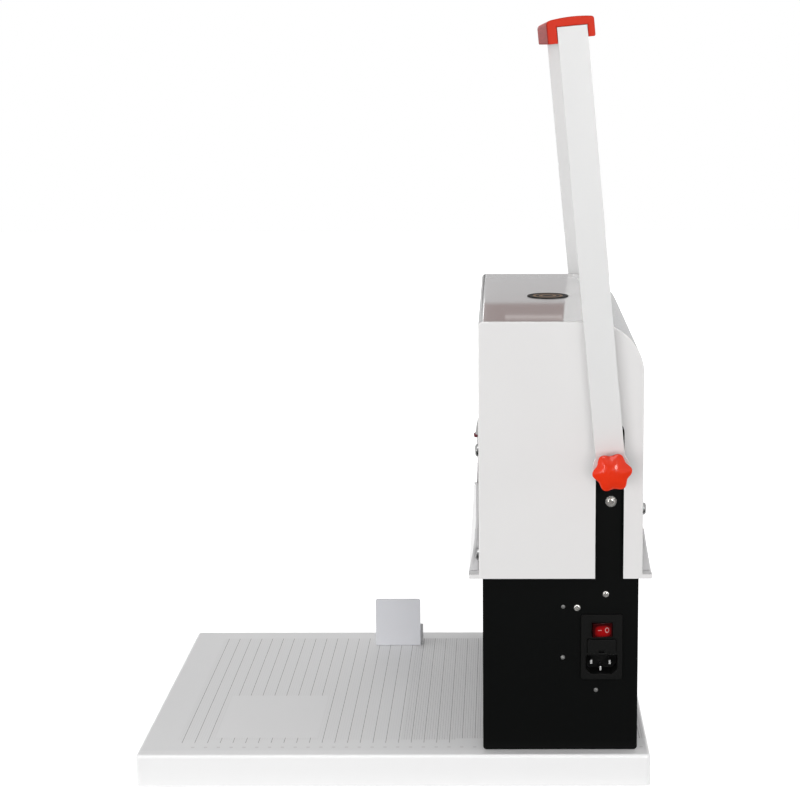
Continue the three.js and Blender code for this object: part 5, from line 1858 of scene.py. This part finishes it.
@dataclass
class Fasteners:
    """Screws and rivets of the cover and the side plates."""

    plate_x: float = PLATE_X
    cover_x: float = 152.2
    cover_y: Pair = COVER_Y
    cover_head: Pair = (9.4, 2.6)
    slot_screw: Pair = (168.2, 224.8)
    slot_head: Pair = (6.6, 2.6)
    head_share: float = 0.32
    washer_radius: float = 4.35
    teeth: int = 12

    def places(self) -> list[ScrewPlace]:
        """Every screw and rivet."""
        found = []
        front, rear = self.cover_y
        for side in Side:
            x, face, way = side.value * self.cover_x, side.value * self.plate_x, (side.value, 0, 0)
            for name, y, z, turn in (
                ("front_screw_upper", front, 264.6, 20), ("front_screw_lower", front, 183.4, 20),
                ("rear_screw", rear, 218.8, 55),
            ):
                name, size = f"{name}_{side.word}", self.cover_head
                facing = (0, -1 if y == front else 1, 0)
                # Cover screws in the darker metal whose colour stands in for painted dark
                # reflections.
                found.append(ScrewPlace(name, (x, y, z), facing, *size, SHADE_DARKENED_METAL, turn))
            name = f"shaft_screw_{side.word}"
            found.append(ScrewPlace(name, (face, *self.slot_screw), way, *self.slot_head, turn=25))
            for name, y, z, size, finish, turn in (
                ("rear", 164.9, 151.6, 5.0, PLATED_STEEL, 10),
                ("middle", 142.8, 140.8, 5.2, PLATED_STEEL, 40),
                ("small", 132.0, 141.5, 3.2, DULL_RIVET, 0),
                ("low", 131.9, 100.9, 3.5, DULL_RIVET, 0),
                ("foot", 157.7, 74.6, 3.4, DULL_RIVET, 0),
            ):
                name, height = f"plate_{name}_{side.word}", size * self.head_share
                found.append(ScrewPlace(name, (face, y, z), way, size, height, finish, turn))
        return found

    def build(self) -> None:
        """Models one head per kind and copies it to its places."""
        screw = self.pan_head()
        dome = [(0.5, -0.3), (0.5, 0.25), (0.46, 0.55), (0.36, 0.8), (0.2, 0.95), (0.08, 1.0)]
        rivet = Workpiece.turned("rivet_pattern", dome, sides=24)
        for spot in self.places():
            pattern = rivet if spot.finish is DULL_RIVET else screw
            piece = pattern.copy_to(spot.name, self.seat(spot))
            piece.smooth(35).paint(spot.finish).hang(Body.FRAME)
        for side in Side:
            self.washer(side)
        screw.discard()
        rivet.discard()

    def pan_head(self) -> Workpiece:
        """A pan head of unit diameter and height with a cross recess."""
        profile = [
            (0.44, -0.3), (0.44, 0.0), (0.5, 0.0), (0.5, 0.35), (0.47, 0.62), (0.4, 0.85),
            (0.28, 0.97), (0.1, 1.0),
        ]
        head = Workpiece.turned("screw_pattern", profile, sides=32)
        head.cut(
            Workpiece.block("cross_a", (-0.3, -0.06, 0.5), (0.3, 0.06, 1.5)),
            Workpiece.block("cross_b", (-0.06, -0.3, 0.5), (0.06, 0.3, 1.5)),
        )
        return head

    def seat(self, spot: ScrewPlace) -> Matrix:
        """Matrix that takes the unit head to its place."""
        size = Matrix.Diagonal((spot.diameter, spot.diameter, spot.height, 1))
        spin = Matrix.Rotation(math.radians(spot.turn), 4, "Z")
        return self.facing(spot.at, spot.facing) @ spin @ size

    def facing(self, at: Point, way: Point) -> Matrix:
        """Matrix that stands a piece up at a place, along a direction."""
        turn = Vector((0, 0, 1)).rotation_difference(Vector(way)).to_matrix().to_4x4()
        return Matrix.Translation(Vector(at) * MM) @ turn

    def washer(self, side: Side) -> None:
        """Toothed lock washer under the screw in the slot."""
        r = self.washer_radius
        profile = [(r - 0.2, 0.0), (r, 0.2), (r, 0.6), (r - 0.2, 0.8), (2, 0.8)]
        piece = Workpiece.turned(f"lock_washer_{side.word}", profile, sides=36)
        for i in range(self.teeth):
            angle = math.radians(FULL_TURN * i / self.teeth)
            at = (r * math.cos(angle), r * math.sin(angle), 0)
            piece.cut(Workpiece.turned("tooth_gap", [(0.42, -1), (0.42, 2)], at, sides=12))
        place = (side.value * self.plate_x, *self.slot_screw)
        piece.transform(self.facing(place, (side.value, 0, 0)))
        piece.smooth().paint(PLATED_STEEL).hang(Body.FRAME)


class CarriedNodes:
    """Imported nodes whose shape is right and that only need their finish."""

    finishes = {
        "control_board": BOARD, "shaft_bush_": BRONZE, "sector_gear_": STEEL, "lift_rack_": STEEL,
        "idler_gear_": STEEL, "idler_axle_": STEEL,
    }

    def build(self, nodes: dict[str, bpy.types.Object]) -> None:
        """Gives each node that still shows its finish.

        Args:
            nodes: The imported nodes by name.
        """
        for name, obj in nodes.items():
            for start, finish in self.finishes.items():
                if name.startswith(start):
                    Workpiece(obj).paint(finish)
                    log.info("%s keeps its packed shape in %s", name, finish.name)


@dataclass(frozen=True)
class Lamp:
    """A soft rectangular lamp.

    Attributes:
        name: Lamp name.
        at: Where it hangs, in metres.
        size: Width and height in metres.
        power: Watts.
    """

    name: str
    at: Point
    size: Pair
    power: float


@dataclass(frozen=True)
class Card:
    """A reflector card that only gloss sees.

    Attributes:
        name: Card name.
        low: Lowest corner in metres.
        high: Highest corner in metres.
        colour: Its radiance.
    """

    name: str
    low: Point
    high: Point
    colour: Colour


LAMPS = (
    Lamp("key_lamp", (3.2, -0.25, 0.55), (3.0, 1.0), 57.5),
    Lamp("front_lamp", (0.1, -3.2, 0.7), (2.6, 1.0), 34.0),
    Lamp("rear_lamp", (-0.1, 3.2, 0.6), (2.6, 1.0), 26.0),
    Lamp("left_lamp", (-3.2, 0.1, 0.6), (2.6, 1.0), 24.0),
)
CARDS = (
    Card("far_card_grey", (-1.606, -1.6, -0.2), (-1.605, 1.6, 1.5), (0.57, 0.57, 0.575)),
    Card("far_card_head", (-1.604, -0.9, 0.615), (-1.603, 0.043, 0.9), (0.95, 0.95, 0.95)),
    Card("far_card_dark", (-1.601, 0.05, 0.577), (-1.6, 0.27, 0.66), (0.165, 0.066, 0.053)),
    Card("far_card_low", (-1.601, -0.12, 0.4), (-1.6, 0.045, 0.515), (0.06, 0.06, 0.06)),
    Card("far_card_slit", (-1.601, 0.02, 0.57), (-1.6, 0.0445, 0.64), (4.0, 4.0, 4.0)),
    Card("far_card_streak", (-1.596, 0.09, 0.5976), (-1.595, 0.185, 0.6016), (0.85, 0.76, 0.73)),
    Card("near_card", (2.3, -1.6, -0.1), (2.301, 1.6, 1.3), (0.03, 0.03, 0.03)),
    Card("near_floor_card", (0.18, -1.4, 0.0), (2.3, 1.4, 0.001), (0.05, 0.05, 0.05)),
    Card("edge_card", (0.7, -0.75, 2.1), (1.6, 0.16, 2.101), (5.6, 5.6, 5.6)),
    Card("left_spot_card", (1.97, -1.5, 0.46), (1.98, -1.1, 0.74), (16.0, 16.0, 16.0)),
    Card("right_spot_card", (2.28, 0.64, 0.58), (2.29, 1.08, 0.98), (27.0, 27.0, 27.0)),
)


@dataclass
class Studio:
    """Pale floor, soft light and the camera."""

    camera_at: Point = (1635.0, 84.8, 568.0)
    pitch: float = 10.12
    roll: float = -0.09
    lens: float = 89.5
    shift: float = -0.127
    room_light: float = 0.41
    floor_size: float = 9.0
    floor_grey: float = 0.8
    floor_glow: float = 0.76
    aim: Point = (0.0, 0.05, 0.25)

    def build(self) -> None:
        """Sets the scene."""
        self.camera()
        self.world()
        self.floor()
        for lamp in LAMPS:
            self.lamp(lamp)
        for card in CARDS:
            self.card(card)

    def camera(self) -> None:
        """Camera at the operator's right, looking down a little."""
        data = bpy.data.cameras.new("camera")
        data.lens = self.lens
        data.sensor_width = 36
        data.shift_x = self.shift
        data.clip_start, data.clip_end = 0.05, 30
        camera = bpy.data.objects.new("camera", data)
        bpy.context.scene.collection.objects.link(camera)
        place = Matrix.Translation(Vector(self.camera_at) * MM)
        for angle, axis in ((90, "Z"), (90 - self.pitch, "X"), (self.roll, "Z")):
            place = place @ Matrix.Rotation(math.radians(angle), 4, axis)
        camera.matrix_world = place
        bpy.context.scene.camera = camera

    def world(self) -> None:
        """Even room light, with a white background for what the camera and gloss see."""
        world = bpy.data.worlds.new("room")
        bpy.context.scene.world = world
        world.use_nodes = True
        sheet = NodeSheet(world.node_tree)
        background = world.node_tree.nodes["Background"]
        set_inputs(background, Color=(1, 1, 1, 1))
        strength = sheet.scaled(self.seen(sheet), 0, 1, self.room_light)
        sheet.put(strength, background.inputs["Strength"])

    def seen(self, sheet: NodeSheet) -> bpy.types.NodeSocket:
        """1 for what the camera, gloss and glass see."""
        path = sheet.add("LightPath")
        either = sheet.math("MAXIMUM", path["Is Camera Ray"], path["Is Glossy Ray"])
        return sheet.math("MAXIMUM", either, path["Is Transmission Ray"])

    def floor(self) -> None:
        """White floor that keeps a faint shadow."""
        deselect_everything()
        bpy.ops.mesh.primitive_plane_add(size=self.floor_size, location=(0, 0, 0))
        floor = bpy.context.object
        floor.name = "floor"
        shader = self.glowing(floor, "pale_floor", self.floor_grey, (1, 1, 1))
        set_inputs(shader, Roughness=0.9)
        sheet = NodeSheet(shader.id_data)
        glow = sheet.product(self.seen(sheet), self.floor_glow)
        sheet.put(glow, shader.inputs["Emission Strength"])

    def glowing(
        self, obj: bpy.types.Object, name: str, grey: float, glow: Colour
    ) -> bpy.types.Node:
        """Gives a stage piece a dull material that glows.

        Args:
            obj: The piece.
            name: Material name.
            grey: Its own colour.
            glow: Colour of the light that it gives.

        Returns:
            The material's shader.
        """
        material = bpy.data.materials.new(name)
        material.use_nodes = True
        shader = material.node_tree.nodes["Principled BSDF"]
        set_inputs(
            shader, Base_Color=(grey, grey, grey, 1), Specular_IOR_Level=0.0,
            Emission_Color=rgba(glow), Emission_Strength=1.0,
        )
        obj.data.materials.append(material)
        return shader

    def lamp(self, lamp: Lamp) -> None:
        """Hangs a lamp and aims it at the object."""
        data = bpy.data.lights.new(lamp.name, "AREA")
        data.shape = "RECTANGLE"
        data.size, data.size_y = lamp.size
        data.energy = lamp.power
        obj = bpy.data.objects.new(lamp.name, data)
        bpy.context.scene.collection.objects.link(obj)
        obj.location = lamp.at
        way = Vector(self.aim) - Vector(lamp.at)
        obj.rotation_euler = way.to_track_quat("-Z", "Y").to_euler()
        obj.visible_camera = obj.visible_glossy = False

    def card(self, card: Card) -> None:
        """Sets up a card that neither the camera nor the diffuse light meets."""
        low, high = ([c / MM for c in corner] for corner in (card.low, card.high))
        obj = Workpiece.block(card.name, low, high).obj
        self.glowing(obj, card.name, 0.0, card.colour)
        obj.visible_camera = obj.visible_diffuse = False
        obj.visible_shadow = obj.visible_transmission = False


def corners(bounds: tuple[Vector, Vector]) -> list[list[float]]:
    """A box as plain lists of numbers."""
    return [list(bounds[0]), list(bounds[1])]


def main() -> None:
    """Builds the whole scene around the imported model."""
    logging.basicConfig(level=logging.INFO, format="%(message)s")
    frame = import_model()
    deselect_everything()
    bpy.context.scene.view_settings.view_transform = "Standard"
    Studio().build()
    for assembly in (
        Platform(), Housing(), Cover(), MainsInlet(), LeverLoop(), DrillHead(), SideStop(),
        Fasteners(),
    ):
        log.info("building %s", type(assembly).__name__)
        assembly.build()
    CarriedNodes().build(frame["nodes"])
    deselect_everything()
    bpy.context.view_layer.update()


if __name__ == "__main__":
    main()
